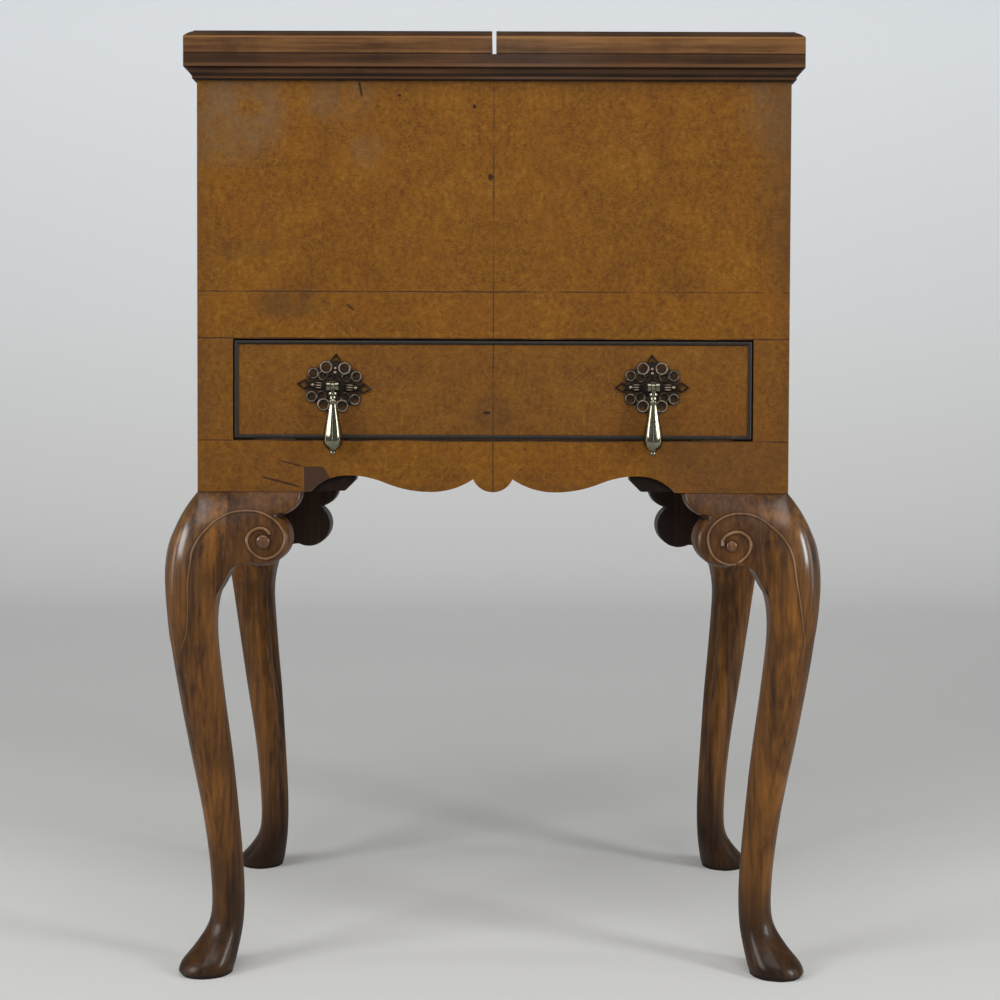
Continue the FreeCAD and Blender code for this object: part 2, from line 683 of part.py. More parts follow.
def make_drawer():
    front = box(-drawer_x, drawer_x, -half_depth, drawer_front_back, drawer_low, drawer_high)
    bead_back = -half_depth + cock_bead_depth
    core = box(-drawer_x + cock_bead_width, drawer_x - cock_bead_width, -half_depth - 1, bead_back,
               drawer_low + cock_bead_width, drawer_high - cock_bead_width)
    rim = box(-drawer_x, drawer_x, -half_depth - 1, bead_back, drawer_low, drawer_high).cut(core)
    front = front.cut(rim)
    for x in (-pull_x, pull_x):
        hole = Part.makeCylinder(post_radius + pin_play, drawer_front_thickness + 2,
                                 Vector(x, -half_depth - 1, pin_z), Vector(0, 1, 0))
        front = front.cut(hole)
    groove_x = drawer_x - drawer_groove - 2
    groove = box(-groove_x, groove_x, drawer_front_back - drawer_groove, drawer_front_back + 1,
                 drawer_bottom_z, drawer_bottom_z + drawer_bottom_thickness)
    front = front.cut(groove)
    sockets = Part.makeCompound(dovetails(dovetail_play))
    front = front.cut(sockets).cut(other_side(sockets))
    save("drawer_front", front)

    side = box(-drawer_side_x, -drawer_side_x + drawer_side_thickness, drawer_front_back, drawer_end,
               drawer_side_low, drawer_side_high)
    for tail in dovetails(0):
        side = side.fuse(tail)
    inner = drawer_side_x - drawer_side_thickness
    slot = box(-inner - drawer_groove, -inner + 1, -half_depth, drawer_end - drawer_side_thickness,
               drawer_bottom_z, drawer_bottom_z + drawer_bottom_thickness)
    side = side.cut(slot).removeSplitter()
    save("drawer_left_side", side)
    save("drawer_right_side", other_side(side))

    save("drawer_back", box(-inner, inner, drawer_end - drawer_side_thickness, drawer_end,
                            drawer_side_low, drawer_side_high - drawer_bottom_thickness))
    tongue = drawer_groove - drawer_play
    save("drawer_bottom", box(-inner - tongue, inner + tongue, drawer_front_back - tongue,
                              drawer_end - drawer_side_thickness - drawer_play / 2,
                              drawer_bottom_z, drawer_bottom_z + drawer_bottom_thickness - drawer_play / 4))
    make_cock_beads(bead_back)


def make_cock_beads(bead_back):
    """Mitred strips let in around the drawer front, standing proud with a rounded edge."""
    nose = cock_bead_stand - cock_bead_width / 2
    y_straight = -half_depth - max(nose, 0.2)
    y_tip = -half_depth - cock_bead_stand

    def strip(length):
        """One strip along +X from the origin, its outer edge at z = 0."""
        a = Vector(0, bead_back, 0)
        b = Vector(0, y_straight, 0)
        tip = Vector(0, y_tip, cock_bead_width / 2)
        c = Vector(0, y_straight, cock_bead_width)
        d = Vector(0, bead_back, cock_bead_width)
        wire = loop_wire([Part.LineSegment(a, b), Part.Arc(b, tip, c), Part.LineSegment(c, d),
                          Part.LineSegment(d, a)])
        run = Part.Face(wire).extrude(Vector(length, 0, 0))
        w = cock_bead_width
        y = y_tip - 1
        mitre = polygon([Vector(0, y, 0), Vector(length, y, 0), Vector(length - w, y, w), Vector(w, y, w)])
        return run.common(mitre.extrude(Vector(0, bead_back - y + 1, 0)))

    lower = strip(2 * drawer_x)
    lower.translate(Vector(-drawer_x, 0, drawer_low))
    upper = lower.mirror(Vector(0, 0, (drawer_low + drawer_high) / 2), Vector(0, 0, 1))
    save("cock_bead_rails", Part.makeCompound([lower, upper]))
    end = strip(drawer_high - drawer_low)
    end.rotate(Vector(0, 0, 0), Vector(0, 1, 0), 90)
    end.translate(Vector(-drawer_x, 0, drawer_high))
    save("cock_bead_ends", Part.makeCompound([end, other_side(end)]))


# ---- pulls --------------------------------------------------------------------------------------
# Rings of the pierced plate in one quarter: (across, up, outer radius), from the plate's centre.
plate_rings = ((8.8, 17.8, 7.3), (21.4, 10.6, 5.9), (12.2, 9.0, 4.9))


def pull_plate(turn):
    """Pierced plate at the origin: twelve rings and four pointed tips around a boss."""
    def disc(x, z, radius):
        """Filed round with a few flats."""
        turns = [2 * math.pi * (n + 0.5) / plate_ring_sides for n in range(plate_ring_sides)]
        rim = [Vector(x + radius * math.cos(a), -plate_thickness, z + radius * math.sin(a)) for a in turns]
        return polygon(rim).extrude(Vector(0, plate_thickness, 0))

    def tip(half_across, length, z):
        corners = ((0, z), (half_across, z - length / 2), (0, z - length), (-half_across, z - length / 2))
        face = polygon([Vector(x, -plate_thickness, up) for x, up in corners])
        return face.extrude(Vector(0, plate_thickness, 0))

    solids = [disc(0, 0, plate_boss_radius)]
    holes = [disc(0, 0, post_radius + pin_play)]
    for side in (-1, 1):
        for end in (-1, 1):
            for x, z, radius in plate_rings:
                solids.append(disc(side * x, end * z, radius))
                holes.append(disc(side * x, end * z, radius - plate_wall))
    inner_tip = plate_tip_length - 2.6 * plate_wall
    for quarter in range(4):
        reach = plate_tip_reach if quarter % 2 else plate_tip_reach - 5.5
        outside = tip(plate_tip_width / 2, plate_tip_length, reach)
        inside = tip(plate_tip_width / 2 - 1.2 * plate_wall, inner_tip, reach - 1.5 * plate_wall)
        stem = box(-plate_wall, plate_wall, -plate_thickness, 0, 0, reach - plate_tip_length + plate_wall)
        for shape in (outside, inside, stem):
            shape.rotate(Vector(0, 0, 0), Vector(0, 1, 0), 90 * quarter)
        solids += [outside, stem]
        holes.append(inside)
    plate = solids[0].fuse(solids[1:])
    plate = plate.cut(holes).removeSplitter()
    plate.rotate(Vector(0, 0, 0), Vector(0, 1, 0), turn)
    return plate


def pull_post():
    """Headed post with a forked knuckle; its shank passes through the plate and the drawer front."""
    pin = Vector(0, -pin_stand, 0)
    nut_back = drawer_front_thickness + nut_thickness + 2
    shank = Part.makeCylinder(post_radius, pin_stand - knuckle_radius + nut_back,
                              Vector(0, -pin_stand + knuckle_radius, 0), Vector(0, 1, 0))
    collar_face = Vector(0, -plate_thickness - 1.6, 0)
    collar = flats_around(post_collar_radius, post_sides, collar_face, Vector(0, 1.6, 0))
    neck = box(-post_head_width / 2, post_head_width / 2, -pin_stand, -plate_thickness - 1,
               -knuckle_radius + 1, knuckle_radius - 1)
    knuckle = flats_around(knuckle_radius, post_sides, pin - Vector(post_head_width / 2, 0, 0),
                           Vector(post_head_width, 0, 0))
    post = shank.fuse([collar, neck, knuckle])
    half_slot = tang_thickness / 2 + tang_play
    slot_back = -pin_stand + knuckle_radius - 0.4
    post = post.cut(box(-half_slot, half_slot, -pin_stand - 20, slot_back, -20, 20))
    bore = Part.makeCylinder(pin_radius + pin_play / 2, 2 * post_head_width,
                             pin - Vector(post_head_width, 0, 0), Vector(1, 0, 0))
    return post.cut(bore).removeSplitter()


def pull_nut():
    points = []
    for n in range(6):
        angle = math.radians(60 * n)
        points.append(Vector(nut_radius * math.cos(angle), drawer_front_thickness,
                             nut_radius * math.sin(angle)))
    nut = polygon(points).extrude(Vector(0, nut_thickness, 0))
    return nut.cut(Part.makeCylinder(post_radius + pin_play / 2, 40, Vector(0, 0, 0), Vector(0, 1, 0)))


def fluted_section(radius, z):
    """Star-shaped section with a ridge and a hollow for each flute."""
    points = []
    for n in range(2 * drop_flutes):
        reach = radius if n % 2 else radius * (1 - flute_share)
        angle = math.pi * n / drop_flutes
        points.append(Vector(reach * math.cos(angle), -pin_stand + reach * math.sin(angle), z))
    return points


def turned_section(radius, z):
    """Section of the plain turned stretches, in flats."""
    turns = [2 * math.pi * n / turned_sides for n in range(turned_sides)]
    return [Vector(radius * math.cos(a), -pin_stand + radius * math.sin(a), z) for a in turns]


# Stretches of the drop, each row (share of its full radius, share of its length down from the pin).
drop_neck = ((0.48, 0.090), (0.48, 0.120), (0.33, 0.135), (0.33, 0.200), (0.41, 0.210), (0.41, 0.240))
drop_body = ((0.36, 0.240), (0.50, 0.420), (0.78, 0.640), (0.96, 0.780), (1.00, 0.830))
drop_foot = ((0.95, 0.830), (0.90, 0.862), (0.70, 0.895), (0.28, 0.928), (0.36, 0.952), (0.22, 1.0))


def pull_drop():
    """Fluted drop that hangs from the pin by its tang; the pin is level with the origin."""
    neck = flat_loft([turned_section(drop_radius * r, -drop_length * down) for r, down in drop_neck])
    body = flat_loft([fluted_section(drop_radius * r, -drop_length * down) for r, down in drop_body])
    foot = flat_loft([turned_section(drop_radius * r, -drop_length * down) for r, down in drop_foot])
    half = tang_thickness / 2
    eye = knuckle_radius - 0.9
    tang = box(-half, half, -pin_stand - eye + 1, -pin_stand + eye - 1, -drop_length * drop_neck[0][1], 0)
    ring = Part.makeCylinder(eye, tang_thickness, Vector(-half, -pin_stand, 0), Vector(1, 0, 0))
    drop = body.fuse([foot, neck, tang, ring])
    bore = Part.makeCylinder(pin_radius + pin_play, 4 * half, Vector(-2 * half, -pin_stand, 0),
                             Vector(1, 0, 0))
    return drop.cut(bore).removeSplitter()


def make_pulls():
    pin = Part.makeCylinder(pin_radius, post_head_width, Vector(-post_head_width / 2, -pin_stand, 0),
                            Vector(1, 0, 0))
    post = pull_post()
    drop = pull_drop()
    nut = pull_nut()
    pins = []
    nuts = []
    for side, x, turn in (("left", -pull_x, left_plate_turn), ("right", pull_x, 0)):
        place = Vector(x, -half_depth, pin_z)
        save(side + "_pull_plate", pull_plate(turn).translated(place))
        save(side + "_pull_post", post.translated(place))
        save(side + "_pull_drop", drop.translated(place))
        pins.append(pin.translated(place))
        nuts.append(nut.translated(place))
    save("pull_pins", Part.makeCompound(pins))
    save("pull_nuts", Part.makeCompound(nuts))


make_case()
make_drawer_carriage()
make_dividers()
make_glue_blocks()
make_legs()
make_cornice()
make_hinges()
make_lids()
make_drawer()
make_pulls()
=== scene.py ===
import math

import bmesh
import bpy
from mathutils import Matrix, Vector
from mathutils.bvhtree import BVHTree


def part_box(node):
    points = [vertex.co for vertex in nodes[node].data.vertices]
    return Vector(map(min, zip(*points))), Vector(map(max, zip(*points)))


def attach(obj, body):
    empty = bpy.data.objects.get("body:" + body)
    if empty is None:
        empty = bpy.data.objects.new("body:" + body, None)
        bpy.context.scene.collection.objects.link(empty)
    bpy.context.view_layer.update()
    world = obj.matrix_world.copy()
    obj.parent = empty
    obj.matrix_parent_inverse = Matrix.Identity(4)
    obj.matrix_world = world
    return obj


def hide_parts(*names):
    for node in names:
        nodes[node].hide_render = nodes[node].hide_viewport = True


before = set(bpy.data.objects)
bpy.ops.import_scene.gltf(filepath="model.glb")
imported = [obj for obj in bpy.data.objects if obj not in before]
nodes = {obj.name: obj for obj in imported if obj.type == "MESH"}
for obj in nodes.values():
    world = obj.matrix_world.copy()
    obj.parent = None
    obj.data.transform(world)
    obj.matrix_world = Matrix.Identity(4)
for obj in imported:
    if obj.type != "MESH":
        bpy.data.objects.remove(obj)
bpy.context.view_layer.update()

MM = 0.001

# ---- places taken from the frame --------------------------------------------
panel_low, panel_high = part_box("front_panel")
case_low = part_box("left_side")[0].z
case_high = panel_high.z
case_left = panel_low.x
case_side = -case_left                             # the case is even about its centre line
case_front = panel_low.y
frieze_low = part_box("frieze_rail")[0].z
apron_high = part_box("apron_rail")[1].z
drawer_low, drawer_high = (corner.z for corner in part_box("drawer_front"))
lid_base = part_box("left_lid_panel")[0].z
cornice_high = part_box("cornice_front")[1].z
leg_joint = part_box("front_left_bracket")[0].x      # where the bracket meets the square of the leg


# ---- camera and light -------------------------------------------------------
# Lamps: name, place, what it points at, width and height, watts.
LAMPS = (("left_window", (-2.3, -1.7, 1.6), (0, 0, 0.5), (1.1, 1.3), 41),
         ("right_window", (2.3, -1.5, 1.3), (0, 0, 0.5), (0.6, 1.1), 35),
         ("ceiling_light", (0, -1.6, 2.9), (0, 0.2, 0.5), (2.4, 1.4), 33),
         ("open_door", (0.1, -3.4, 1.0), (0, 0, 0.6), (0.30, 1.7), 5),
         ("left_mirror", (-2.4, -0.45, 0.8), (0, -0.2, 0.6), (0.25, 1.5), 5),
         ("right_mirror", (2.4, -0.45, 0.8), (0, -0.2, 0.6), (0.25, 1.5), 5))


def in_scene(name, data):
    """A new object with this mesh, curve, lamp or camera."""
    item = bpy.data.objects.new(name, data)
    bpy.context.scene.collection.objects.link(item)
    return item


def add_camera():
    """Standing in front of the case, about level with the drawer."""
    data = bpy.data.cameras.new("camera")
    camera = in_scene("camera", data)
    data.sensor_width = 36
    data.lens = 60.66
    data.shift_x = 0.0065
    data.shift_y = -0.0496
    data.clip_start = 0.05
    data.clip_end = 50
    camera.location = (0.005, -1.83, 0.561)
    camera.rotation_euler = (math.radians(90 - 1.7), math.radians(-0.20), math.radians(0.16))
    bpy.context.scene.camera = camera


def add_lamp(name, place, towards, size, power):
    data = bpy.data.lights.new(name, "AREA")
    data.shape = "RECTANGLE"
    data.size, data.size_y = size
    data.energy = power
    lamp = in_scene(name, data)
    lamp.location = place
    lamp.rotation_euler = (Vector(towards) - Vector(place)).to_track_quat("-Z", "Y").to_euler()


def light_the_room():
    """The lamps, and a dim room that shows pale behind the backdrop."""
    for lamp in LAMPS:
        add_lamp(*lamp)
    world = bpy.data.worlds.new("room")
    bpy.context.scene.world = world
    world.use_nodes = True
    tree = world.node_tree
    dim = tree.nodes["Background"]
    dim.inputs["Color"].default_value = (0.93, 0.96, 1.0, 1)
    dim.inputs["Strength"].default_value = 0.22
    pale = tree.nodes.new("ShaderNodeBackground")
    pale.inputs["Color"].default_value = (0.62, 0.64, 0.66, 1)
    seen = tree.nodes.new("ShaderNodeLightPath")
    choice = tree.nodes.new("ShaderNodeMixShader")
    tree.links.new(seen.outputs["Is Camera Ray"], choice.inputs[0])
    tree.links.new(dim.outputs[0], choice.inputs[1])
    tree.links.new(pale.outputs[0], choice.inputs[2])
    tree.links.new(choice.outputs[0], tree.nodes["World Output"].inputs["Surface"])


add_camera()
light_the_room()
bpy.context.scene.view_settings.view_transform = "Standard"


# ---- shader tools -----------------------------------------------------------
class Value:
    """A socket that takes part in sums: each operator adds its Math node."""

    def __init__(self, finish, socket):
        self.finish = finish
        self.socket = socket

    def math(self, operation, *terms):
        return self.finish.add("Math", {"operation": operation}, dict(enumerate(terms)))

    def __add__(self, other):
        return self.math("ADD", self, other)

    def __sub__(self, other):
        return self.math("SUBTRACT", self, other)

    def __rsub__(self, other):
        return self.math("SUBTRACT", other, self)

    def __mul__(self, other):
        return self.math("MULTIPLY", self, other)

    def __truediv__(self, other):
        return self.math("DIVIDE", self, other)

    __radd__ = __add__
    __rmul__ = __mul__

    def absolute(self):
        return self.math("ABSOLUTE", self)

    def most(self, other):
        return self.math("MAXIMUM", self, other)

    def step(self, low, high):
        """0 below low, 1 above high, and a smooth rise between them; low may be above high."""
        return self.finish.add("MapRange", {"interpolation_type": "SMOOTHSTEP"},
                               {"Value": self, "From Min": low, "From Max": high})


class Finish:
    """A material under construction around one Principled shader."""

    def __init__(self, name, **sockets):
        self.material = bpy.data.materials.new(name)
        self.material.use_nodes = True
        self.tree = self.material.node_tree
        self.shader = self.tree.nodes["Principled BSDF"]
        for socket, value in sockets.items():
            self.feed(socket.replace("_", " ").title().replace("Ior", "IOR"), value)

    def add(self, kind, settings=None, inputs=None, output=0):
        """One node of any type: settings first, then the values and links of its sockets."""
        node = self.tree.nodes.new("ShaderNode" + kind)
        for key, value in (settings or {}).items():
            if key == "stops":
                self.set_stops(node.color_ramp, value)
            else:
                setattr(node, key, value)
        for key, value in (inputs or {}).items():
            if isinstance(value, Value):
                self.tree.links.new(value.socket, node.inputs[key])
            else:
                node.inputs[key].default_value = value
        return Value(self, node.outputs[output])

    @staticmethod
    def set_stops(ramp, stops):
        while len(ramp.elements) < len(stops):
            ramp.elements.new(0.5)
        for element, (place, colour) in zip(ramp.elements, stops):
            element.position = place
            element.color = (*colour, 1)

    def feed(self, socket, value):
        if isinstance(value, Value):
            self.tree.links.new(value.socket, self.shader.inputs[socket])
        elif hasattr(value, "__len__"):
            self.shader.inputs[socket].default_value = (*value, 1)
        else:
            self.shader.inputs[socket].default_value = value

    def place(self, stretch=(1, 1, 1), turn=(0, 0, 0), shift=(0, 0, 0)):
        """The object's own coordinates in metres, stretched, turned or shifted."""
        point = self.add("TexCoord", output="Object")
        return self.add("Mapping", {}, {"Vector": point, "Scale": stretch, "Rotation": turn,
                                        "Location": shift})

    def axes(self, point):
        return [self.add("SeparateXYZ", {}, {"Vector": point}, output=n) for n in range(3)]

    def point(self, x, y, z):
        return self.add("CombineXYZ", {}, {"X": x, "Y": y, "Z": z})

    def noise(self, point, scale, detail=4.0, roughness=0.55, distortion=0.0):
        return self.add("TexNoise", {}, {"Vector": point, "Scale": scale, "Detail": detail,
                                         "Roughness": roughness, "Distortion": distortion})

    def cells(self, point, output=0):
        """Distance to the nearest of many scattered points, or with output 1 its own random colour."""
        return self.add("TexVoronoi", {"feature": "F1"},
                        {"Vector": point, "Scale": 1.0, "Randomness": 1.0}, output)

    def mix(self, share, first, second):
        """Colour mix; share is a number or a Value."""
        colours = [value if isinstance(value, Value) else (*value, 1) for value in (first, second)]
        return self.add("Mix", {"data_type": "RGBA"}, {0: share, 6: colours[0], 7: colours[1]}, output=2)

    def ramp(self, value, *stops):
        return self.add("ValToRGB", {"stops": stops}, {"Fac": value})

    def hollows(self, reach):
        """1 in corners and hollows within reach of another surface, 0 out in the open."""
        return 1 - self.add("AmbientOcclusion", {"samples": 6}, {"Distance": reach}, output=1)

    def bump(self, height, depth, strength=1.0):
        normal = self.add("Bump", {}, {"Height": height, "Distance": depth, "Strength": strength})
        self.feed("Normal", normal)


# ---- modelling tools --------------------------------------------------------
def select_only(*pieces):
    """Selects these pieces and nothing else, and makes the first one active."""
    bpy.ops.object.select_all(action="DESELECT")
    for piece in pieces:
        piece.select_set(True)
    bpy.context.view_layer.objects.active = pieces[0]


def made(primitive, scale=(1, 1, 1), **settings):
    """A new piece from one of Blender's primitives, its placing and scale taken into its mesh."""
    primitive(**settings)
    piece = bpy.context.object
    select_only(piece)
    piece.scale = scale
    bpy.ops.object.transform_apply(location=True, rotation=True, scale=True)
    return piece


def begin_edit(piece, mode="VERT"):
    """Edit mode on one piece alone, with nothing in it selected."""
    select_only(piece)
    bpy.ops.object.mode_set(mode="EDIT")
    bpy.ops.mesh.select_mode(type=mode)
    bpy.ops.mesh.select_all(action="DESELECT")


def end_edit():
    bpy.ops.object.mode_set(mode="OBJECT")


def pick_edges(piece, wanted):
    """In edit mode, selects the edges that the test accepts."""
    mesh = bmesh.from_edit_mesh(piece.data)
    for edge in mesh.edges:
        if wanted(edge):
            edge.select_set(True)
    mesh.select_flush(True)
    bmesh.update_edit_mesh(piece.data)


def apply_modifier(piece, kind, **settings):
    bpy.context.view_layer.objects.active = piece
    modifier = piece.modifiers.new(kind.lower(), kind)
    for key, value in settings.items():
        setattr(modifier, key, value)
    bpy.ops.object.modifier_apply(modifier=modifier.name)


def own_copy(node, name):
    """A welded copy of a CAD node's mesh, as a piece of its own."""
    piece = in_scene(name, nodes[node].data.copy())
    begin_edit(piece)
    bpy.ops.mesh.select_all(action="SELECT")
    bpy.ops.mesh.remove_doubles(threshold=0.00002)
    bpy.ops.mesh.tris_convert_to_quads(face_threshold=math.radians(1), shape_threshold=math.pi)
    bpy.ops.mesh.customdata_custom_splitnormals_clear()
    end_edit()
    return piece


def mirrored(piece, name, matrix):
    """A copy with its own mesh, mirrored by the matrix."""
    copy = in_scene(name, piece.data.copy())
    copy.data.transform(matrix)
    copy.data.flip_normals()
    return copy


def soften(piece, angle):
    select_only(piece)
    bpy.ops.object.shade_smooth_by_angle(angle=math.radians(angle))


def dress(piece, material, body, *replaced):
    """Gives a finished piece its finish, its body and the CAD nodes that it stands for."""
    if material:
        piece.data.materials.clear()
        piece.data.materials.append(material)
    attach(piece, body)
    if replaced:
        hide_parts(*replaced)


# ---- stage ------------------------------------------------------------------
def stage_finish():
    """Pale paper: evenly grey, with a painted glow added for the camera alone, dim on the floor and
    brighter up the wall.
    """
    finish = Finish("pale_paper", roughness=0.9, base_color=(0.60, 0.60, 0.59), emission_strength=1.0)
    y, z = finish.axes(finish.place())[1:]
    way_up = (y + z + 2.3) / 8         # 0 at the front edge of the floor, 1 high on the wall
    # Painted light: a glow that rises from dim on the floor to bright high on the wall.
    painted_wall_light = finish.ramp(way_up, (0.27, (0.070, 0.066, 0.058)), (0.43, (0.082, 0.081, 0.076)),
                       (0.60, (0.165, 0.166, 0.160)), (0.78, (0.255, 0.260, 0.255)),
                       (0.95, (0.38, 0.405, 0.43)))
    finish.feed("Emission Color", finish.mix(finish.add("LightPath"), (0, 0, 0), painted_wall_light))
    return finish.material


def add_stage():
    """A pale floor that sweeps up into a pale wall."""
    stage = made(bpy.ops.mesh.primitive_plane_add, (12, 5, 1), size=1, location=(0, 0.2, 0))
    stage.name = "floor_and_wall"
    begin_edit(stage, "EDGE")
    pick_edges(stage, lambda edge: all(vertex.co.y > 2 for vertex in edge.verts))
    radius = 0.9
    for n in range(12):
        a, b = (math.pi / 2 * k / 12 for k in (n, n + 1))
        across = radius * (math.sin(b) - math.sin(a))
        up = radius * (math.cos(a) - math.cos(b))
        bpy.ops.mesh.extrude_region_move(TRANSFORM_OT_translate={"value": (0, across, up)})
    bpy.ops.mesh.extrude_region_move(TRANSFORM_OT_translate={"value": (0, 0, 4)})
    end_edit()
    bpy.ops.object.shade_smooth()
    stage.data.materials.append(stage_finish())


add_stage()


# ---- finishes ---------------------------------------------------------------
# Marks of age on the front, in millimetres across from the centre line and up from the floor:
# centre, half width and half height, softness, strength.
BLOOMED = (((-262, 838), (78, 62), 0.9, 1.0), ((286, 850), (60, 70), 0.9, 0.7),
           ((-150, 850), (46, 28), 0.9, 0.6), ((-122, 800), (22, 24), 0.9, 0.6))
SMUDGED = (((-198, 654), (44, 20), 0.95, 1.0), ((0, 548), (34, 24), 0.95, 0.7),
           ((-240, 706), (40, 14), 0.9, 0.6))
WORN = (((228, 500), (95, 42), 0.8, 1.0), ((286, 780), (42, 150), 0.9, 0.8),
        ((-225, 492), (90, 36), 0.8, 0.5))
KNOTS = (((-18.9, 843.5), (2.4, 2.6), 0.8, 1.0), ((-3, 776), (3.2, 4.2), 0.8, 1.0),
         ((-91, 854), (2.0, 1.6), 0.7, 1.0), ((-6, 549), (5, 2.0), 0.8, 1.0))
# Start, end and half width.
CRACKS = (((-130, 868), (-127, 852), 1.6), ((-142, 654), (-134, 647), 1.3),
          ((-224, 486.5), (-186, 476.5), 1.3), ((-207, 502), (-183, 496.4), 0.9))
PLATE_CENTRE = (153.7, 574)
# The patch let into the apron.
PATCH_LEFT = -183.0 * MM
PATCH_TOP = 496.6 * MM
PATCH_RIGHT = -164.7 * MM                     # at its top
PATCH_LEAN = 0.69                             # how far its right edge runs out for each step down


def spot(x, z, centre, size, soft=0.6):
    """Soft round mark on the front: centre and half sizes in millimetres across and up."""
    across = (x - centre[0] * MM) / (size[0] * MM)
    up = (z - centre[1] * MM) / (size[1] * MM)
    return (across * across + up * up).step(1.0, 1.0 - soft)


def strongest(marks):
    """The strongest of several marks at each point."""
    most = marks[0]
    for mark in marks[1:]:
        most = most.most(mark)
    return most


def spots(x, z, rows):
    return strongest([spot(x, z, centre, size, soft) * strength for centre, size, soft, strength in rows])


def scratch(x, z, start, end, width):
    """Thin mark from one place to another on the front, in millimetres across and up."""
    run = Vector((end[0] - start[0], end[1] - start[1]))
    length = run.length
    along = ((x / MM - start[0]) * run.x + (z / MM - start[1]) * run.y) / length
    aside = ((x / MM - start[0]) * run.y - (z / MM - start[1]) * run.x).absolute() / length
    return aside.step(width, 0.3 * width) * along.step(-1, 3) * (length - along).step(-1, 3)


def figured_walnut():
    """Old golden burr walnut veneer, book-matched about the centre line, under worn wax."""
    finish = Finish("figured_walnut", roughness=0.42, specular_ior_level=0.2)
    x, y, z = finish.axes(finish.place())
    matched = finish.point(x.absolute(), y, z)
    warp = finish.noise(matched, 9, detail=2)
    cloud = finish.noise(matched, 11, detail=4, roughness=0.6, distortion=0.8)
    burr = finish.noise(finish.point(x.absolute() + warp * 0.04, y, z * 0.8), 62, detail=5, roughness=0.62,
                        distortion=1.6)
    mottle = finish.noise(matched, 190, detail=3, roughness=0.7)
    strokes = finish.noise(finish.point(x.absolute() * 0.55 + warp * 0.02, y, z + warp * 0.03), 560,
                           detail=2)
    tone = cloud * 0.17 + burr * 0.26 + mottle * 0.33 + strokes * 0.21
    colour = finish.ramp(tone, (0.38, (0.106, 0.036, 0.003)), (0.45, (0.150, 0.055, 0.003)),
                         (0.51, (0.186, 0.072, 0.004)), (0.60, (0.248, 0.107, 0.010)))
    red = finish.noise(finish.place(shift=(2, 5, 1)), 17, detail=3, roughness=0.6)
    colour = finish.mix(red.step(0.48, 0.70) * 0.22, colour, (0.170, 0.052, 0.004))
    patches = finish.noise(matched, 20, detail=3, roughness=0.7)
    curl = finish.noise(matched, 88, detail=2, roughness=0.5, distortion=2.4)
    swirls = (curl - 0.5 + (strokes - 0.5) * 0.12).absolute().step(0.040, 0.0) * patches.step(0.44, 0.62)
    colour = finish.mix(swirls * 0.38, colour, (0.062, 0.019, 0.004))
    flecks = pits(finish, x, y, z, warp, strokes, patches)
    colour = finish.mix(flecks * 0.7, colour, (0.036, 0.012, 0.004))
    front = y.step(case_front + 5 * MM, case_front + 2 * MM)
    colour, bloom = old_marks(finish, colour, x, z, front)
    colour, lines = veneer_joints(finish, colour, x, z)
    grain = finish.noise(finish.place(stretch=(0.3, 1, 0.05)), 120, detail=4, roughness=0.6)
    # The plain wood that the veneer is laid on, behind its outer face.
    ground = finish.ramp(grain, (0.35, (0.070, 0.036, 0.016)), (0.65, (0.165, 0.092, 0.044)))
    under_side = x.absolute().step(case_side - 1.8 * MM, case_side - 2.4 * MM)
    under_front = y.step(case_front + 1.6 * MM, case_front + 2.2 * MM)
    colour = finish.mix(under_side * under_front, colour, ground)
    finish.feed("Base Color", colour)
    finish.feed("Roughness", 0.38 + mottle * 0.12 + flecks * 0.15 + bloom * 0.16)
    height = burr * 0.3 + mottle * 0.3 + strokes * 0.2 - flecks * 0.7 - swirls * 0.25 - lines
    finish.bump(height, 0.35 * MM, 0.6)
    return finish.material


def pits(finish, x, y, z, warp, strokes, patches):
    """Small ragged eyes scattered through the burr, and finer flecks in crowds."""
    ragged = strokes * 0.9
    coarse = finish.point(x.absolute() * 240 + ragged, y * 240, z * 200 + warp * 5 - ragged)
    near = finish.cells(coarse)
    pick = finish.axes(finish.cells(coarse, output=1))[0]
    eyes = near.step(0.21, 0.04) * pick.step(0.78, 0.86)
    fine = finish.point(x.absolute() * 560 + ragged * 2, y * 420, z * 430 + warp * 9 + ragged)
    crowd = finish.cells(fine)
    over_drawer = (z.step(frieze_low + 28 * MM, frieze_low + 10 * MM)
                   * z.step(frieze_low - 2 * MM, frieze_low + 2 * MM) * patches.step(0.36, 0.52) * 0.8)
    crowded = (patches.step(0.50, 0.64) * (0.55 + 0.45 * z.step(0.70, 0.66))).most(over_drawer)
    flecks = crowd.step(0.34, 0.12) * crowded
    return flecks.most(eyes)


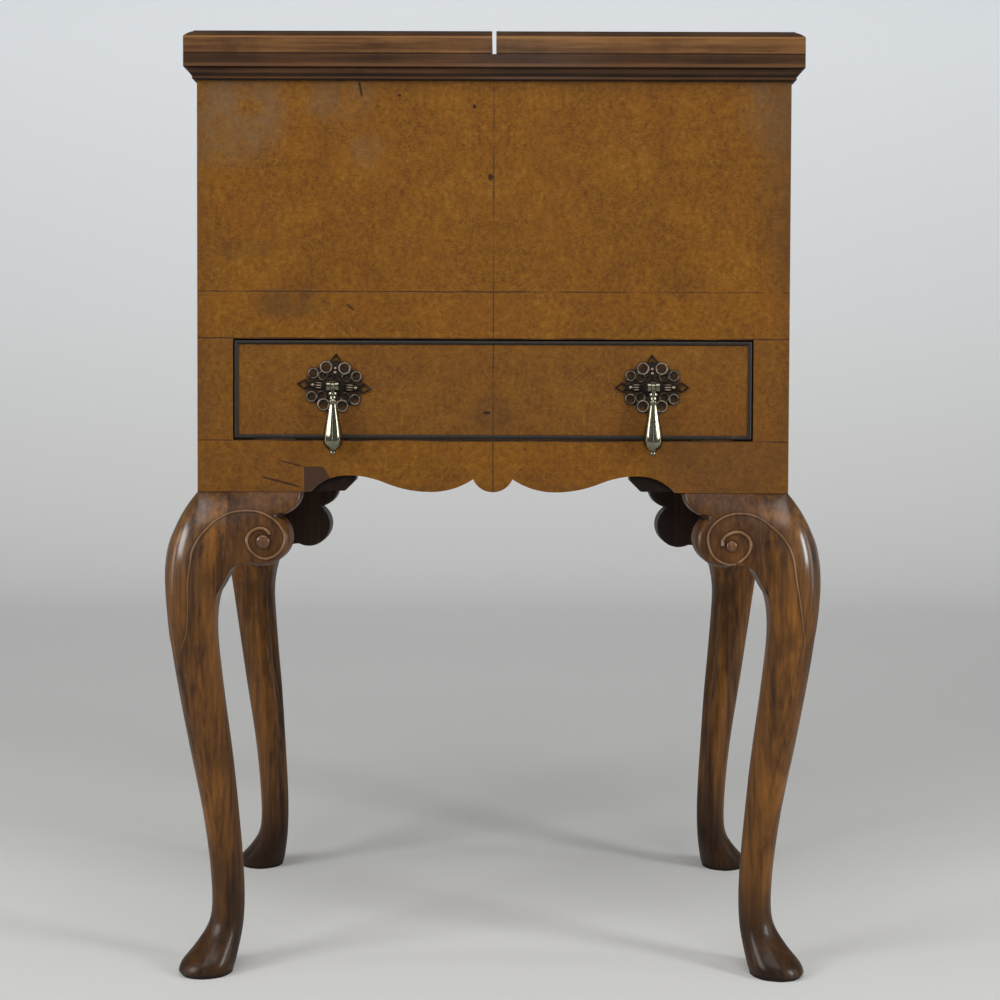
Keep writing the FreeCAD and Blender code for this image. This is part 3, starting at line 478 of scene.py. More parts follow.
def old_marks(finish, colour, x, z, front):
    """What the front has got with age: bloomed corners, smudges, worn parts, knots, cracks and a patch;
    with it painted shade under the cornice and behind the plates, and darker side edges and bottom.
    """
    breaks = finish.noise(finish.place(shift=(4, 2, 7)), 40, detail=4, roughness=0.65)
    bloom = spots(x, z, BLOOMED) * breaks.step(0.30, 0.62) * front
    colour = finish.mix(bloom * 0.60, colour, (0.146, 0.092, 0.046))
    dark = finish.noise(finish.place(shift=(3, 1, 2)), 7, detail=4, roughness=0.6)
    smudges = spots(x, z, SMUDGED).most(dark.step(0.60, 0.85) * 0.45)
    # Painted shade under the cornice; the side edges and the bottom of the case are darker too.
    shade_under_cornice = z.step(case_high - 18 * MM, case_high + 2 * MM)
    edges = x.absolute().step(case_side - 24 * MM, case_side + 4 * MM) * 0.55
    foot = z.step(case_low + 14 * MM, case_low - 2 * MM) * 0.5
    drawer_band = z.step(drawer_low - 2 * MM, drawer_low) * z.step(drawer_high + 2 * MM, drawer_high)
    worn = spots(x, z, WORN).most(drawer_band * 0.45)
    colour = finish.mix(worn * front * (0.25 + breaks * 0.3), colour, (0.072, 0.034, 0.014))
    # Smudges of dirt, joined with the painted shade under the cornice and the darker edges and bottom.
    grime_and_shade = (smudges * front).most(shade_under_cornice * 0.6).most(edges * front).most(foot)
    colour = finish.mix(grime_and_shade * breaks.step(0.20, 0.55) * 0.5, colour, (0.056, 0.028, 0.009))
    cracks = strongest([scratch(x, z, *row) for row in CRACKS])
    marks = spots(x, z, KNOTS).most(cracks) * front
    colour = finish.mix(marks * 0.9, colour, (0.016, 0.007, 0.004))
    # Painted shade behind the pierced plates, which darkens their holes, with old polish dirt.
    shade_and_dirt_behind_plates = spot(x.absolute(), z, PLATE_CENTRE, (31, 24), 0.35)
    colour = finish.mix(shade_and_dirt_behind_plates * front * 0.85, colour, (0.014, 0.009, 0.006))
    patch = (x.step(PATCH_LEFT, PATCH_LEFT + 0.4 * MM) * z.step(PATCH_TOP, PATCH_TOP - 0.4 * MM)
             * (x + (z - PATCH_TOP) * PATCH_LEAN).step(PATCH_RIGHT, PATCH_RIGHT - 0.5 * MM))
    colour = finish.mix(patch * front * 0.92, colour, (0.042, 0.021, 0.013))
    return colour, bloom


def veneer_joints(finish, colour, x, z):
    """Fine dark joints: upright on the centre line and level across the case."""
    wander = finish.noise(finish.place(), 30, detail=2) * (1.2 * MM) - 0.6 * MM
    lines = (x + wander).absolute().step(0.9 * MM, 0.3 * MM) * 0.85
    joints = ((panel_low.z - 0.5 * MM, 0.9), (frieze_low + 0.5 * MM, 1.0), (apron_high - 0.5 * MM, 1.0))
    for level, strength in joints:
        lines = lines.most((z - level + wander).absolute().step(0.9 * MM, 0.3 * MM) * strength)
    breaks = finish.noise(finish.place(), 22, detail=3).step(0.36, 0.55)
    lines = lines * (breaks * 0.75 + 0.2)
    return finish.mix(lines, colour, (0.035, 0.014, 0.006)), lines


def scaled(colour, share):
    return tuple(share * value for value in colour)


def dark_walnut(name, light, dark, grain_axis, gloss=0.34, coat=0.45, grime_and_shade=(), rubbed=(), haze=0.12,
                polish=None, rims=0.0):
    """Straight-grained walnut, darker in the grain; grain_axis is 0, 1 or 2 for x, y or z.

    Each row of the dark bands and of the pale bands is (level, reach, share): a level band painted darker
    or paler; on the mouldings the dark bands are painted shade in their steps and seams, the pale ones
    painted highlights on their crests.
    polish is (level, reach, extra coat) on the knees, and rims the extra coat where carving turns away."""
    finish = Finish(name, coat_weight=coat, coat_roughness=haze, specular_ior_level=0.15)
    stretch = [1.0, 1.0, 1.0]
    stretch[grain_axis] = 0.055
    along = finish.place(stretch=tuple(stretch))
    streaks = finish.noise(along, 230, detail=4, roughness=0.6, distortion=0.3)
    bands = finish.noise(along, 42, detail=3, roughness=0.5, distortion=0.6)
    wear = finish.noise(finish.place(), 16, detail=5, roughness=0.65)
    tone = streaks * 0.5 + bands * 0.5
    middle = tuple((a + b) / 2 for a, b in zip(light, dark))
    colour = finish.ramp(tone, (0.36, dark), (0.52, middle), (0.66, light))
    colour = finish.mix(wear.step(0.45, 0.75) * 0.5, colour, scaled(dark, 0.5))
    place = finish.axes(finish.place())
    across = place[0]
    height = place[2]
    if polish:
        level, reach, extra = polish
        outer = across.absolute().step(case_side - 20 * MM, case_side - 2 * MM)
        knee = (height - level).absolute().step(reach, 0.3 * reach)
        finish.feed("Coat Weight", coat + knee * outer * extra)
    if rims:
        facing = finish.axes(finish.add("NewGeometry", output="Normal"))
        aside = facing[0].absolute().most(facing[1].absolute()).step(0.95, 0.72)
        finish.feed("Coat Weight", coat + aside * facing[2].step(0.40, 0.20) * rims)
    # Level bands: painted highlights on moulding crests and painted shade in moulding steps, and on the
    # legs darker feet with painted shade under the case.
    for rows, tint in ((rubbed, scaled(light, 1.25)), (grime_and_shade, scaled(dark, 0.4))):
        for level, reach, share in rows:
            band = (height - level).absolute().step(reach, 0.3 * reach)
            colour = finish.mix(band * (0.6 + wear * 0.8) * share, colour, tint)
    # Painted shade: darker in hollows and corners within 5 mm of another surface, with some dirt; also
    # rougher there.
    hollow_shade_and_dirt = finish.hollows(5 * MM).step(0.02, 0.26)
    colour = finish.mix(hollow_shade_and_dirt * 0.85, colour, scaled(dark, 0.35))
    finish.feed("Base Color", colour)
    finish.feed("Roughness", gloss + wear * 0.16 + hollow_shade_and_dirt * 0.3)
    finish.bump(streaks * 0.6 + wear * 0.4, 0.4 * MM, 0.4)
    return finish.material


def plain_board(name, light, dark, grain_axis):
    """Bare old oak or pine inside the case."""
    finish = Finish(name, roughness=0.75)
    stretch = [1.0, 1.0, 1.0]
    stretch[grain_axis] = 0.04
    along = finish.place(stretch=tuple(stretch))
    grain = finish.noise(along, 160, detail=5, roughness=0.6, distortion=0.4)
    bands = finish.noise(along, 28, detail=2, distortion=1.0)
    dust = finish.noise(finish.place(), 12, detail=4)
    colour = finish.ramp(grain * 0.55 + bands * 0.45, (0.35, dark), (0.65, light))
    colour = finish.mix(dust.step(0.4, 0.8) * 0.35, colour, scaled(dark, 0.6))
    finish.feed("Base Color", colour)
    finish.feed("Roughness", 0.68 + grain * 0.15)
    finish.bump(grain, 0.5 * MM, 0.5)
    return finish.material


def ebonised():
    """Black-stained bead, rubbed brown in places."""
    finish = Finish("ebonised_bead", specular_ior_level=0.3)
    wear = finish.noise(finish.place(), 90, detail=5, roughness=0.7)
    rub = finish.noise(finish.place(), 14, detail=3)
    rubbed = wear.step(0.56, 0.74) * rub.step(0.4, 0.7)
    colour = finish.mix(rubbed, (0.015, 0.011, 0.008), (0.085, 0.052, 0.030))
    finish.feed("Base Color", colour)
    finish.feed("Roughness", 0.36 + wear * 0.2)
    finish.bump(wear, 0.2 * MM, 0.4)
    return finish.material


def old_brass(name, bright, dark, cover, roughness, crest=None):
    """Cast brass under old patina; cover is how much stays dark, crest where the front is rubbed."""
    finish = Finish(name, metallic=1.0)
    patina = finish.noise(finish.place(), 260, detail=5, roughness=0.65)
    specks = finish.noise(finish.place(shift=(1, 2, 3)), 700, detail=3)
    if crest:
        forward = finish.axes(finish.place())[1]
        rubbed = (forward + patina * (0.8 * MM) - 0.4 * MM).step(crest + 0.5 * MM, crest + 0.1 * MM)
    else:
        rubbed = finish.add("NewGeometry", output="Pointiness").step(0.50, 0.56)
    dull = (patina * 0.7 + specks * 0.3).step(0.62 - 0.5 * cover, 0.78 - 0.5 * cover) * (1 - rubbed * 0.8)
    finish.feed("Base Color", finish.mix(dull, bright, dark))
    finish.feed("Roughness", roughness + dull * 0.22)
    finish.bump(patina, 0.2 * MM, 0.35)
    return finish.material


veneer = figured_walnut()
# Level bands painted on the mouldings and the legs, painted shade in the steps and seams, painted
# highlights on the crests: level, reach, strength.
# Lid mouldings: painted shade in the seam at their foot and over their upper part, a painted highlight
# along the fascia.
lid_shade = ((lid_base, 1.4 * MM, 0.95), (lid_base + 20.3 * MM, 4.6 * MM, 0.75),
             (lid_base + 23.2 * MM, 1.8 * MM, 0.9))
lid_highlights = ((lid_base + 15.8 * MM, 1.2 * MM, 0.7),)
# Cornice: painted shade in the seam at its foot, in the quirks of its profile and over the top of its
# fascia; painted highlights on the bead and the lower fascia.
cornice_shade = ((case_high, 1.6 * MM, 1.0), (case_high + 5.2 * MM, 1.4 * MM, 0.9),
                 (case_high + 10.8 * MM, 1.0 * MM, 0.9), (case_high + 19.5 * MM, 5.0 * MM, 0.35))
cornice_highlights = ((case_high + 2.8 * MM, 1.6 * MM, 0.35), (case_high + 13.0 * MM, 2.2 * MM, 0.55))
# Legs: darker towards the floor, and painted shade where they meet the underside of the case.
leg_dark_bands = ((0.0, 120 * MM, 0.8), (case_low, 18 * MM, 0.4))

ALONG, DEEP, UPRIGHT = 0, 1, 2                # which way the grain runs
LID_EDGE = ((0.225, 0.105, 0.034), (0.055, 0.022, 0.007))
MOULDING = ((0.120, 0.053, 0.020), (0.032, 0.013, 0.005))
lid_walnut = dark_walnut("lid_walnut", (0.22, 0.105, 0.038), (0.085, 0.036, 0.014), ALONG,
                         gloss=0.42, coat=0.1, haze=0.35)
lid_edge = dark_walnut("lid_edge_walnut", *LID_EDGE, ALONG, 0.38, 0.1, lid_shade, lid_highlights)
lid_edge_deep = dark_walnut("lid_edge_walnut_deep", *LID_EDGE, DEEP, 0.38, 0.1, lid_shade, lid_highlights)
moulding_along = dark_walnut("moulding_walnut_along", *MOULDING, ALONG, 0.36, 0.12,
                             cornice_shade, cornice_highlights)
moulding_deep = dark_walnut("moulding_walnut_deep", *MOULDING, DEEP, 0.36, 0.12,
                            cornice_shade, cornice_highlights)
leg_walnut = dark_walnut("leg_walnut", (0.225, 0.088, 0.012), (0.026, 0.009, 0.002), UPRIGHT, 0.36, 0.22,
                         leg_dark_bands, haze=0.2, polish=(case_low - 38 * MM, 75 * MM, 0.78))
bracket_walnut = dark_walnut("bracket_walnut", (0.140, 0.055, 0.012), (0.032, 0.011, 0.002), UPRIGHT,
                             0.42, 0.1, haze=0.2, rims=0.6)
# Painted shade: a near-black copy of the walnut for the rear brackets and glue blocks under the case, and
# for the screw countersinks.
painted_shade_bracket = dark_walnut("painted_shade_bracket_walnut", (0.040, 0.018, 0.008), (0.012, 0.005, 0.002), UPRIGHT,
                           0.45, 0.2)
# Painted highlight: a paler copy of the bracket walnut for the carved line along the knees.
highlit_scroll_walnut = dark_walnut("highlit_scroll_walnut", (0.265, 0.136, 0.056), (0.120, 0.052, 0.016), UPRIGHT,
                            coat=0.5)
eye_walnut = dark_walnut("eye_walnut", (0.165, 0.072, 0.024), (0.060, 0.022, 0.006), UPRIGHT, coat=0.6)
OAK = ((0.30, 0.19, 0.10), (0.12, 0.07, 0.035))
oak_across = plain_board("oak_across", *OAK, ALONG)
oak_deep = plain_board("oak_deep", *OAK, DEEP)
pine = plain_board("pine", (0.20, 0.115, 0.055), (0.075, 0.040, 0.020), ALONG)
bead_black = ebonised()
plate_brass = old_brass("bronzed_plate", (0.42, 0.34, 0.25), (0.026, 0.020, 0.015), 1.0, 0.32,
                        case_front - 2.4 * MM)
drop_brass = old_brass("rubbed_brass", (0.21, 0.20, 0.14), (0.05, 0.045, 0.030), 0.08, 0.14)
hinge_brass = old_brass("hinge_brass", (0.45, 0.33, 0.15), (0.12, 0.08, 0.035), 0.5, 0.35)


# ---- finishes of the carried-over pieces ------------------------------------
def paint(material, *names):
    for name in names:
        mesh = nodes[name].data
        mesh.materials.clear()
        mesh.materials.append(material)


paint(veneer, "front_panel", "frieze_rail", "apron_rail", "left_stile", "right_stile", "left_side",
      "right_side", "drawer_front")
paint(lid_walnut, "left_lid_panel", "right_lid_panel")
paint(lid_edge, "left_lid_front_moulding", "right_lid_front_moulding")
paint(lid_edge_deep, "left_lid_end_moulding", "right_lid_end_moulding")
paint(moulding_deep, "cornice_left", "cornice_right")
paint(moulding_along, "cornice_front")
paint(pine, "cornice_back", "back_panel")
paint(painted_shade_bracket, "glue_blocks")
paint(oak_across, "well_floor", "long_dividers", "drawer_back", "drawer_bottom")
paint(oak_deep, "left_runner", "right_runner", "left_guide", "right_guide", "kickers", "drawer_stops",
      "cross_dividers", "drawer_left_side", "drawer_right_side")
paint(bead_black, "cock_bead_rails", "cock_bead_ends")
paint(plate_brass, "left_pull_plate", "right_pull_plate")
paint(drop_brass, "left_pull_post", "right_pull_post", "left_pull_drop", "right_pull_drop", "pull_pins",
      "pull_nuts")
paint(hinge_brass, "frame_leaves", "left_lid_leaves", "right_lid_leaves")
paint(leg_walnut, "front_left_leg", "front_right_leg", "rear_left_leg", "rear_right_leg",
      "front_left_bracket", "front_right_bracket", "left_front_side_bracket", "right_front_side_bracket",
      "rear_left_bracket", "rear_right_bracket", "left_rear_side_bracket", "right_rear_side_bracket")


# ---- legs and brackets ------------------------------------------------------
OTHER_SIDE = Matrix.Diagonal((-1, 1, 1, 1))
OTHER_END = Matrix.Diagonal((1, -1, 1, 1))
corner_shift = case_left - case_front
ROUND_THE_CORNER = Matrix(((0, 1, 0, corner_shift), (1, 0, 0, -corner_shift), (0, 0, 1, 0), (0, 0, 0, 1)))


def worked_round(node, material, body):
    """A piece with its flats worked round and its square edges kept, in place of the CAD node."""
    piece = own_copy(node, node + "_shaped")
    begin_edit(piece, "EDGE")
    bpy.ops.mesh.edges_select_sharp(sharpness=math.radians(42))
    bpy.ops.transform.edge_crease(value=1)
    end_edit()
    apply_modifier(piece, "SUBSURF", levels=2, render_levels=2)
    soften(piece, 50)
    dress(piece, material, body, node)
    return piece


def surface_of(*pieces):
    """One searchable surface of several pieces."""
    points, faces = [], []
    for piece in pieces:
        first = len(points)
        points += [vertex.co.copy() for vertex in piece.data.vertices]
        faces += [[first + n for n in polygon.vertices] for polygon in piece.data.polygons]
    return BVHTree.FromPolygons(points, faces)


def front_of(surface, x, z):
    """Where the surface lies at a place seen from the front, and which way it faces there."""
    return surface.ray_cast(Vector((x, -0.5, z)), Vector((0, 1, 0)))[:2]


shaped_legs = {name: worked_round(name, leg_walnut, "case")
               for name in ("front_left_leg", "front_right_leg", "rear_left_leg", "rear_right_leg")}
rough_leg_surface = surface_of(nodes["front_left_leg"])
leg_surface = surface_of(shaped_legs["front_left_leg"])
scroll_x = leg_joint - 0.15 * MM + 34.5 * MM       # centre of the scroll
scroll_z = case_low - 45 * MM
scroll_radius = 25.5 * MM
lobe_x = leg_joint - 0.15 * MM + 48 * MM           # centre of the quarter round above it
lobe_radius = 22 * MM


def reach_of(surface, z):
    """How far a knee stands out in front of the case beside the joint, at one height."""
    return case_front - front_of(surface, leg_joint - 13 * MM, min(z, case_low - 0.5 * MM))[0].y


def rounding(distance, radius):
    """Fall of a quarter round at a distance in from its edge."""
    if distance >= radius:
        return 0.0
    return radius - math.sqrt(max(radius ** 2 - (radius - distance) ** 2, 0.0))


def within(value, low, high, fade):
    """1 between low and high, running out to 0 over the fade outside them."""
    return min(max(min(value - low, high - value) / fade + 1, 0.0), 1.0)


def rim_fall(x, z):
    """How far the carved rims of the scroll and of the quarter round roll back."""
    scroll_turn = math.degrees(math.atan2(z - scroll_z, x - scroll_x))
    scroll_edge = scroll_radius - math.hypot(x - scroll_x, z - scroll_z)
    lobe_turn = math.degrees(math.atan2(z - case_low, x - lobe_x))
    lobe_edge = lobe_radius - math.hypot(x - lobe_x, z - case_low)
    around_scroll = within(scroll_turn, -112, 56, 8) * rounding(max(scroll_edge, 0.0), 6.5 * MM)
    around_lobe = within(lobe_turn, -86, 10, 6) * rounding(max(lobe_edge, 0.0), 3.5 * MM)
    return around_lobe if z > case_low - 0.98 * lobe_radius else around_scroll


def inner_side(surface, z):
    """How far a leg reaches towards the middle of the case at one height."""
    reached = []
    for n in range(-3, 2):
        start = Vector((leg_joint + 60 * MM, case_front + n * 8 * MM, z))
        hit = surface.ray_cast(start, Vector((-1, 0, 0)))[0]
        if hit:
            reached.append(hit.x)
    return max(reached, default=leg_joint)


HEEL_REACH = 8 * MM                    # how far from the leg a heel is drawn down
HEEL_DROP = 22 * MM                    # how far it is drawn down beside the leg
HEEL_HEIGHT = 28 * MM                  # how far up from the heel the drawing begins
HEEL_FACE = 8 * MM                     # how deep behind the face of the case it is drawn in full
HEEL_FADE = 16 * MM                    # and over what depth it then runs out
HEEL_BACK = 0.35                       # to this share of it


def drawn_heel(x, y, z, heel):
    """Where a place near a bracket's heel goes, so that the heel runs out down the side of the leg."""
    beside = max(1 - max(x - leg_joint, 0.0) / HEEL_REACH, 0.0)
    down = HEEL_DROP * beside ** 2 * max(1 - (z - heel) / HEEL_HEIGHT, 0.0)
    down *= HEEL_BACK + (1 - HEEL_BACK) * within(y, -1, case_front + HEEL_FACE, HEEL_FADE)
    aside = 0.0
    if beside and z < case_low - 1 * MM:
        aside = (inner_side(leg_surface, z - down) - leg_joint) * beside ** 0.5
    return x + aside, z - down


LET_IN = 1.2 * MM                      # how far a bracket is let into its leg at the heel
LET_IN_ABOVE = 5.0 * MM                # and how far above it
LET_IN_FADE = 20 * MM


def shaped_bracket(node, name, end, carved):
    """A bracket worked flush with its leg; end is -1 at the front and 1 at the back."""
    piece = own_copy(node, name)
    apply_modifier(piece, "REMESH", mode="VOXEL", voxel_size=0.9 * MM)
    root = 12 * MM                     # the worked surface starts this far behind the face of the case
    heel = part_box(node)[0].z
    border = set()
    for vertex in piece.data.vertices:
        x, y, z = vertex.co
        proud = end * y + case_front + root
        beside_leg = x < leg_joint + 0.6 * MM
        across = max(x - leg_joint, 0.0) / (75 * MM)
        rough = max(reach_of(rough_leg_surface, z) - 16 * MM * across, 0.0)
        fall = rim_fall(x, z) if carved else 0.0
        if carved:
            x, z = drawn_heel(x, y, z, heel)
        if proud > 0:
            worked = reach_of(leg_surface, z) * (1 - 0.5 * across) - fall
            y = end * (proud * (worked + root) / (rough + root) - case_front - root)
        if beside_leg:
            border.add(vertex.index)
            x -= LET_IN + (LET_IN_ABOVE - LET_IN) * within(z, heel, case_low, LET_IN_FADE)
            face = front_of(leg_surface, x, min(z, case_low - 0.5 * MM))[0]
            if face:
                y = end * min(end * y, -face.y - 0.3 * MM)      # a hair under the face of the leg
        vertex.co = (x, y, z)
    free = piece.vertex_groups.new(name="free")
    free.add([vertex.index for vertex in piece.data.vertices
              if vertex.index not in border and vertex.co.z < case_low - 1.5 * MM], 1.0, "ADD")
    apply_modifier(piece, "SMOOTH", factor=0.5, iterations=10, vertex_group="free")
    piece.vertex_groups.clear()
    soften(piece, 60)
    return piece


carved_bracket = shaped_bracket("front_left_bracket", "front_left_bracket_shaped", -1, True)
plain_bracket = shaped_bracket("rear_left_bracket", "rear_left_bracket_shaped", 1, False)
dress(carved_bracket, bracket_walnut, "case", "front_left_bracket")
dress(plain_bracket, painted_shade_bracket, "case", "rear_left_bracket")
for original, matrix, node, material in (
        (carved_bracket, OTHER_SIDE, "front_right_bracket", bracket_walnut),
        (carved_bracket, ROUND_THE_CORNER, "left_front_side_bracket", bracket_walnut),
        (plain_bracket, OTHER_SIDE, "rear_right_bracket", painted_shade_bracket),
        (plain_bracket, OTHER_END @ ROUND_THE_CORNER @ OTHER_END, "left_rear_side_bracket", painted_shade_bracket)):
    dress(mirrored(original, node + "_shaped", matrix), material, "case", node)
for node in ("right_front_side_bracket", "right_rear_side_bracket"):
    partner = bpy.data.objects[node.replace("right", "left", 1) + "_shaped"]
    dress(mirrored(partner, node + "_shaped", OTHER_SIDE), partner.data.materials[0], "case", node)

# The carved line from the knee over the scroll: (across, up) from the scroll's centre, in millimetres.
LEFT_LINE = ((-80.2, -111.6), (-78.3, -106.5), (-76.2, -100.8), (-73.2, -94.6), (-70.9, -80.8),
             (-70.2, -66.5), (-70.1, -49.6), (-69.2, -35), (-67.8, -25.1), (-65.6, -10.7), (-62.4, -3.1),
             (-58.5, 3.6), (-52.9, 10.3), (-46.5, 16.5), (-38.4, 21.9), (-30.1, 25.3), (-21.7, 26.7),
             (-13.3, 26.9), (-4.7, 25.7), (4.0, 22.2), (11.9, 16.9), (17.2, 10.8), (20.3, 4.0),
             (20.5, -2.8), (17.7, -9.5), (12.8, -14.8), (7.0, -17.6), (1.1, -18.0), (-4.7, -15.8),
             (-9.8, -11.4), (-13.6, -5.7), (-14.7, 0.0), (-12.8, 5.0), (-8.0, 9.1), (-2.2, 10.5),
             (3.4, 8.6), (6.8, 4.2))
RIGHT_LINE = ((-79, -104), (-77.4, -88.4), (-73.5, -61.6), (-69, -36.3), (-65.1, -12.4), (-58.2, 1.8),
              (-46.6, 13.6), (-32.6, 23), (-18.3, 25.8), (-6, 23.9), (5.1, 17.8), (12.7, 8), (13.4, -3.9),
              (9.5, -13.6), (0, -20.7), (-9.7, -21.9), (-19, -16.6), (-25.1, -8), (-26, -0.8),
              (-22, 5.6), (-14.9, 8.6), (-6.5, 6.7), (-0.3, 1.2), (0.3, -4.8))


def carved_line(name, places, surface, fading):
    """A raised bead along the places, a little sunk in the surface and thinned where it starts.

    fading, from 0 to 1, is how faint it gets down the leg."""
    curve = bpy.data.curves.new(name, "CURVE")
    curve.dimensions = "3D"
    curve.resolution_u = 8
    curve.bevel_depth = 1.4 * MM
    curve.bevel_resolution = 3
    curve.use_fill_caps = True
    spline = curve.splines.new("BEZIER")
    spline.bezier_points.add(len(places) - 1)
    for n, (knot, (across, up)) in enumerate(zip(spline.bezier_points, places)):
        point, normal = front_of(surface, scroll_x + across * MM, scroll_z + up * MM)
        knot.co = point - 0.2 * MM * normal
        knot.handle_left_type = knot.handle_right_type = "AUTO"
        inner_turn = max(0.0, 1 - (len(places) - 1 - n) / 8)
        faint = within(up, -12, 100, 34) * fading + 1 - fading
        knot.radius = min(1.0, 0.45 + 0.2 * n) * faint + 0.45 * inner_turn
    select_only(in_scene(name, curve))
    bpy.ops.object.convert(target="MESH")
    bead = bpy.context.object
    # The paler walnut is a painted highlight along the bead's crest.
    bead.data.materials.append(highlit_scroll_walnut)
    soften(bead, 60)
    return bead


def button(name, across, up, surface, radius):
    """The round eye of the scroll."""
    point = front_of(surface, scroll_x + across * MM, scroll_z + up * MM)[0]
    eye = made(bpy.ops.mesh.primitive_uv_sphere_add, (1, 0.45, 1), segments=24, ring_count=12,
               radius=radius * MM, location=point)
    eye.name = name
    eye.data.materials.append(eye_walnut)
    soften(eye, 60)
    return eye


def join(name, *pieces):
    select_only(*pieces)
    bpy.ops.object.join()
    pieces[0].name = name
    return pieces[0]


knee_surface = surface_of(shaped_legs["front_left_leg"], carved_bracket)
left_scroll = join("left_knee_scroll", carved_line("left_line", LEFT_LINE, knee_surface, 0.5),
                   button("left_eye", 0.4, -2.6, knee_surface, 7.3))
right_scroll = join("right_knee_scroll_plan", carved_line("right_line", RIGHT_LINE, knee_surface, 0.15),
                    button("right_eye", -8.5, -5.0, knee_surface, 5.6))
dress(left_scroll, None, "case")
dress(mirrored(left_scroll, "left_side_scroll", ROUND_THE_CORNER), None, "case")
dress(mirrored(right_scroll, "right_knee_scroll", OTHER_SIDE), None, "case")
right_side_scroll = mirrored(right_scroll, "right_side_scroll", OTHER_SIDE @ ROUND_THE_CORNER)
right_side_scroll.data.flip_normals()
dress(right_side_scroll, None, "case")
bpy.data.objects.remove(right_scroll)


# ---- pulls ------------------------------------------------------------------
# Rings of the plate in one quarter: (across, up, outer radius, wall), in millimetres from its centre.
PLATE_RINGS = ((8.9, 18.1, 6.7, 2.8), (20.9, 11.2, 5.9, 2.6), (11.4, 9.7, 5.4, 2.4))
# Solid relief: (across, up, half width, half height, how far it stands out), on the centre line, on both
# sides of it, and in each quarter.
RELIEF_MIDDLE = ((0, 0, 12.5, 9.5, 2.3), (0, 14, 4.2, 12, 1.7), (0, -14, 4.2, 11, 1.7),
                 (0, 17.5, 1.7, 1.7, 2.7), (0, 13.5, 1.9, 1.9, 2.8))
RELIEF_SIDES = ((14, 0, 11, 4.4, 1.9), (20.7, 0, 2.1, 2.1, 3.0), (15, 0, 6, 0.8, 2.6))
RELIEF_QUARTERS = ((15, 2.4, 7, 0.9, 2.4), (15.5, 14, 3.2, 3.2, 1.2), (7, 11, 3.4, 2.6, 1.6))
# Outline of the drop: (down from its shoulder, radius), in millimetres.
DROP_ROWS = ((0.0, 4.6), (1.2, 4.9), (2.2, 4.9), (2.8, 4.2), (3.2, 3.2), (6.8, 3.2), (7.3, 3.7),
             (8.0, 4.1), (8.8, 4.1), (9.3, 3.6), (9.8, 3.3), (12.5, 3.9), (16, 4.6), (21, 5.6),
             (27, 6.9), (33, 8.1), (38, 9.0), (42, 9.5), (45.5, 9.6), (48.5, 9.2), (51, 8.2),
             (53, 6.6), (54.6, 4.6), (55.6, 3.0), (56.2, 2.5), (57.0, 3.0), (58.2, 3.1), (59.2, 2.3),
             (59.7, 1.0))
EYE_RADIUS = 4.3
TANG_WIDTH = 4.2


def torus(x, z, radius, wall, sides=24):
    return made(bpy.ops.mesh.primitive_torus_add, location=(x * MM, -0.9 * MM, z * MM),
                rotation=(math.pi / 2, 0, 0), major_segments=sides, minor_segments=10,
                major_radius=(radius - wall / 2) * MM, minor_radius=0.5 * wall * MM)


def mound(x, z, half_width, half_height, proud):
    """A rounded lump of the relief, half of it behind the plate."""
    return made(bpy.ops.mesh.primitive_uv_sphere_add, (half_width, proud, half_height),
                segments=24, ring_count=12, radius=MM, location=(x * MM, 0, z * MM))


def pointed_tip(reach, quarter):
    """A lozenge-shaped ring on a short stem, at the end of one arm of the plate."""
    ring = torus(0, 0, 6.4, 2.3, sides=4)
    place = Matrix.Translation((0, 0, (reach - 7.2) * MM))
    ring.data.transform(place @ Matrix.Diagonal((0.84, 1, 1.17, 1)))
    length = reach - 13
    stem = made(bpy.ops.mesh.primitive_cube_add, (4.6 * MM, 2.4 * MM, length * MM), size=1,
                location=(0, -0.5 * MM, length / 2 * MM))
    tip = join("tip", ring, stem)
    tip.data.transform(Matrix.Rotation(math.pi / 2 * quarter, 4, "Y"))
    return tip


def plate_pattern():
    """The pierced plate at the origin, cast in one: twelve rings and four tips around a solid middle."""
    parts = []
    for side in (-1, 1):
        for end in (-1, 1):
            parts += [torus(side * x, end * z, *ring) for x, z, *ring in PLATE_RINGS]
            parts += [mound(side * x, end * z, *lump) for x, z, *lump in RELIEF_QUARTERS]
        parts += [mound(side * x, z, *lump) for x, z, *lump in RELIEF_SIDES]
    parts += [pointed_tip(36 if quarter % 2 else 32, quarter) for quarter in range(4)]
    parts += [mound(*lump) for lump in RELIEF_MIDDLE]
    plate = join("plate_pattern", *parts)
    apply_modifier(plate, "REMESH", mode="VOXEL", voxel_size=0.4 * MM)
    begin_edit(plate)
    mesh = bmesh.from_edit_mesh(plate.data)
    for vertex in mesh.verts:
        vertex.select_set(vertex.co.y > 0)
    mesh.select_flush(True)
    bmesh.update_edit_mesh(plate.data)
    bpy.ops.transform.resize(value=(1, 0, 1), center_override=(0, 0, 0))
    end_edit()
    soften(plate, 50)
    return plate


def drop_eye():
    """The flat eye that turns on the pin at the origin, and the tang below it."""
    eye = made(bpy.ops.mesh.primitive_cylinder_add, vertices=40, radius=EYE_RADIUS * MM,
               depth=TANG_WIDTH * MM, rotation=(0, math.pi / 2, 0))
    begin_edit(eye, "EDGE")
    pick_edges(eye, lambda edge: abs(edge.verts[0].co.x - edge.verts[1].co.x) < 0.1 * MM)
    bpy.ops.mesh.bevel(offset=0.35 * MM, segments=2)
    end_edit()
    tang = made(bpy.ops.mesh.primitive_cube_add, (TANG_WIDTH * MM, 5.6 * MM, 6.4 * MM), size=1,
                location=(0, 0, -3.2 * MM))
    return join("drop_eye", eye, tang)


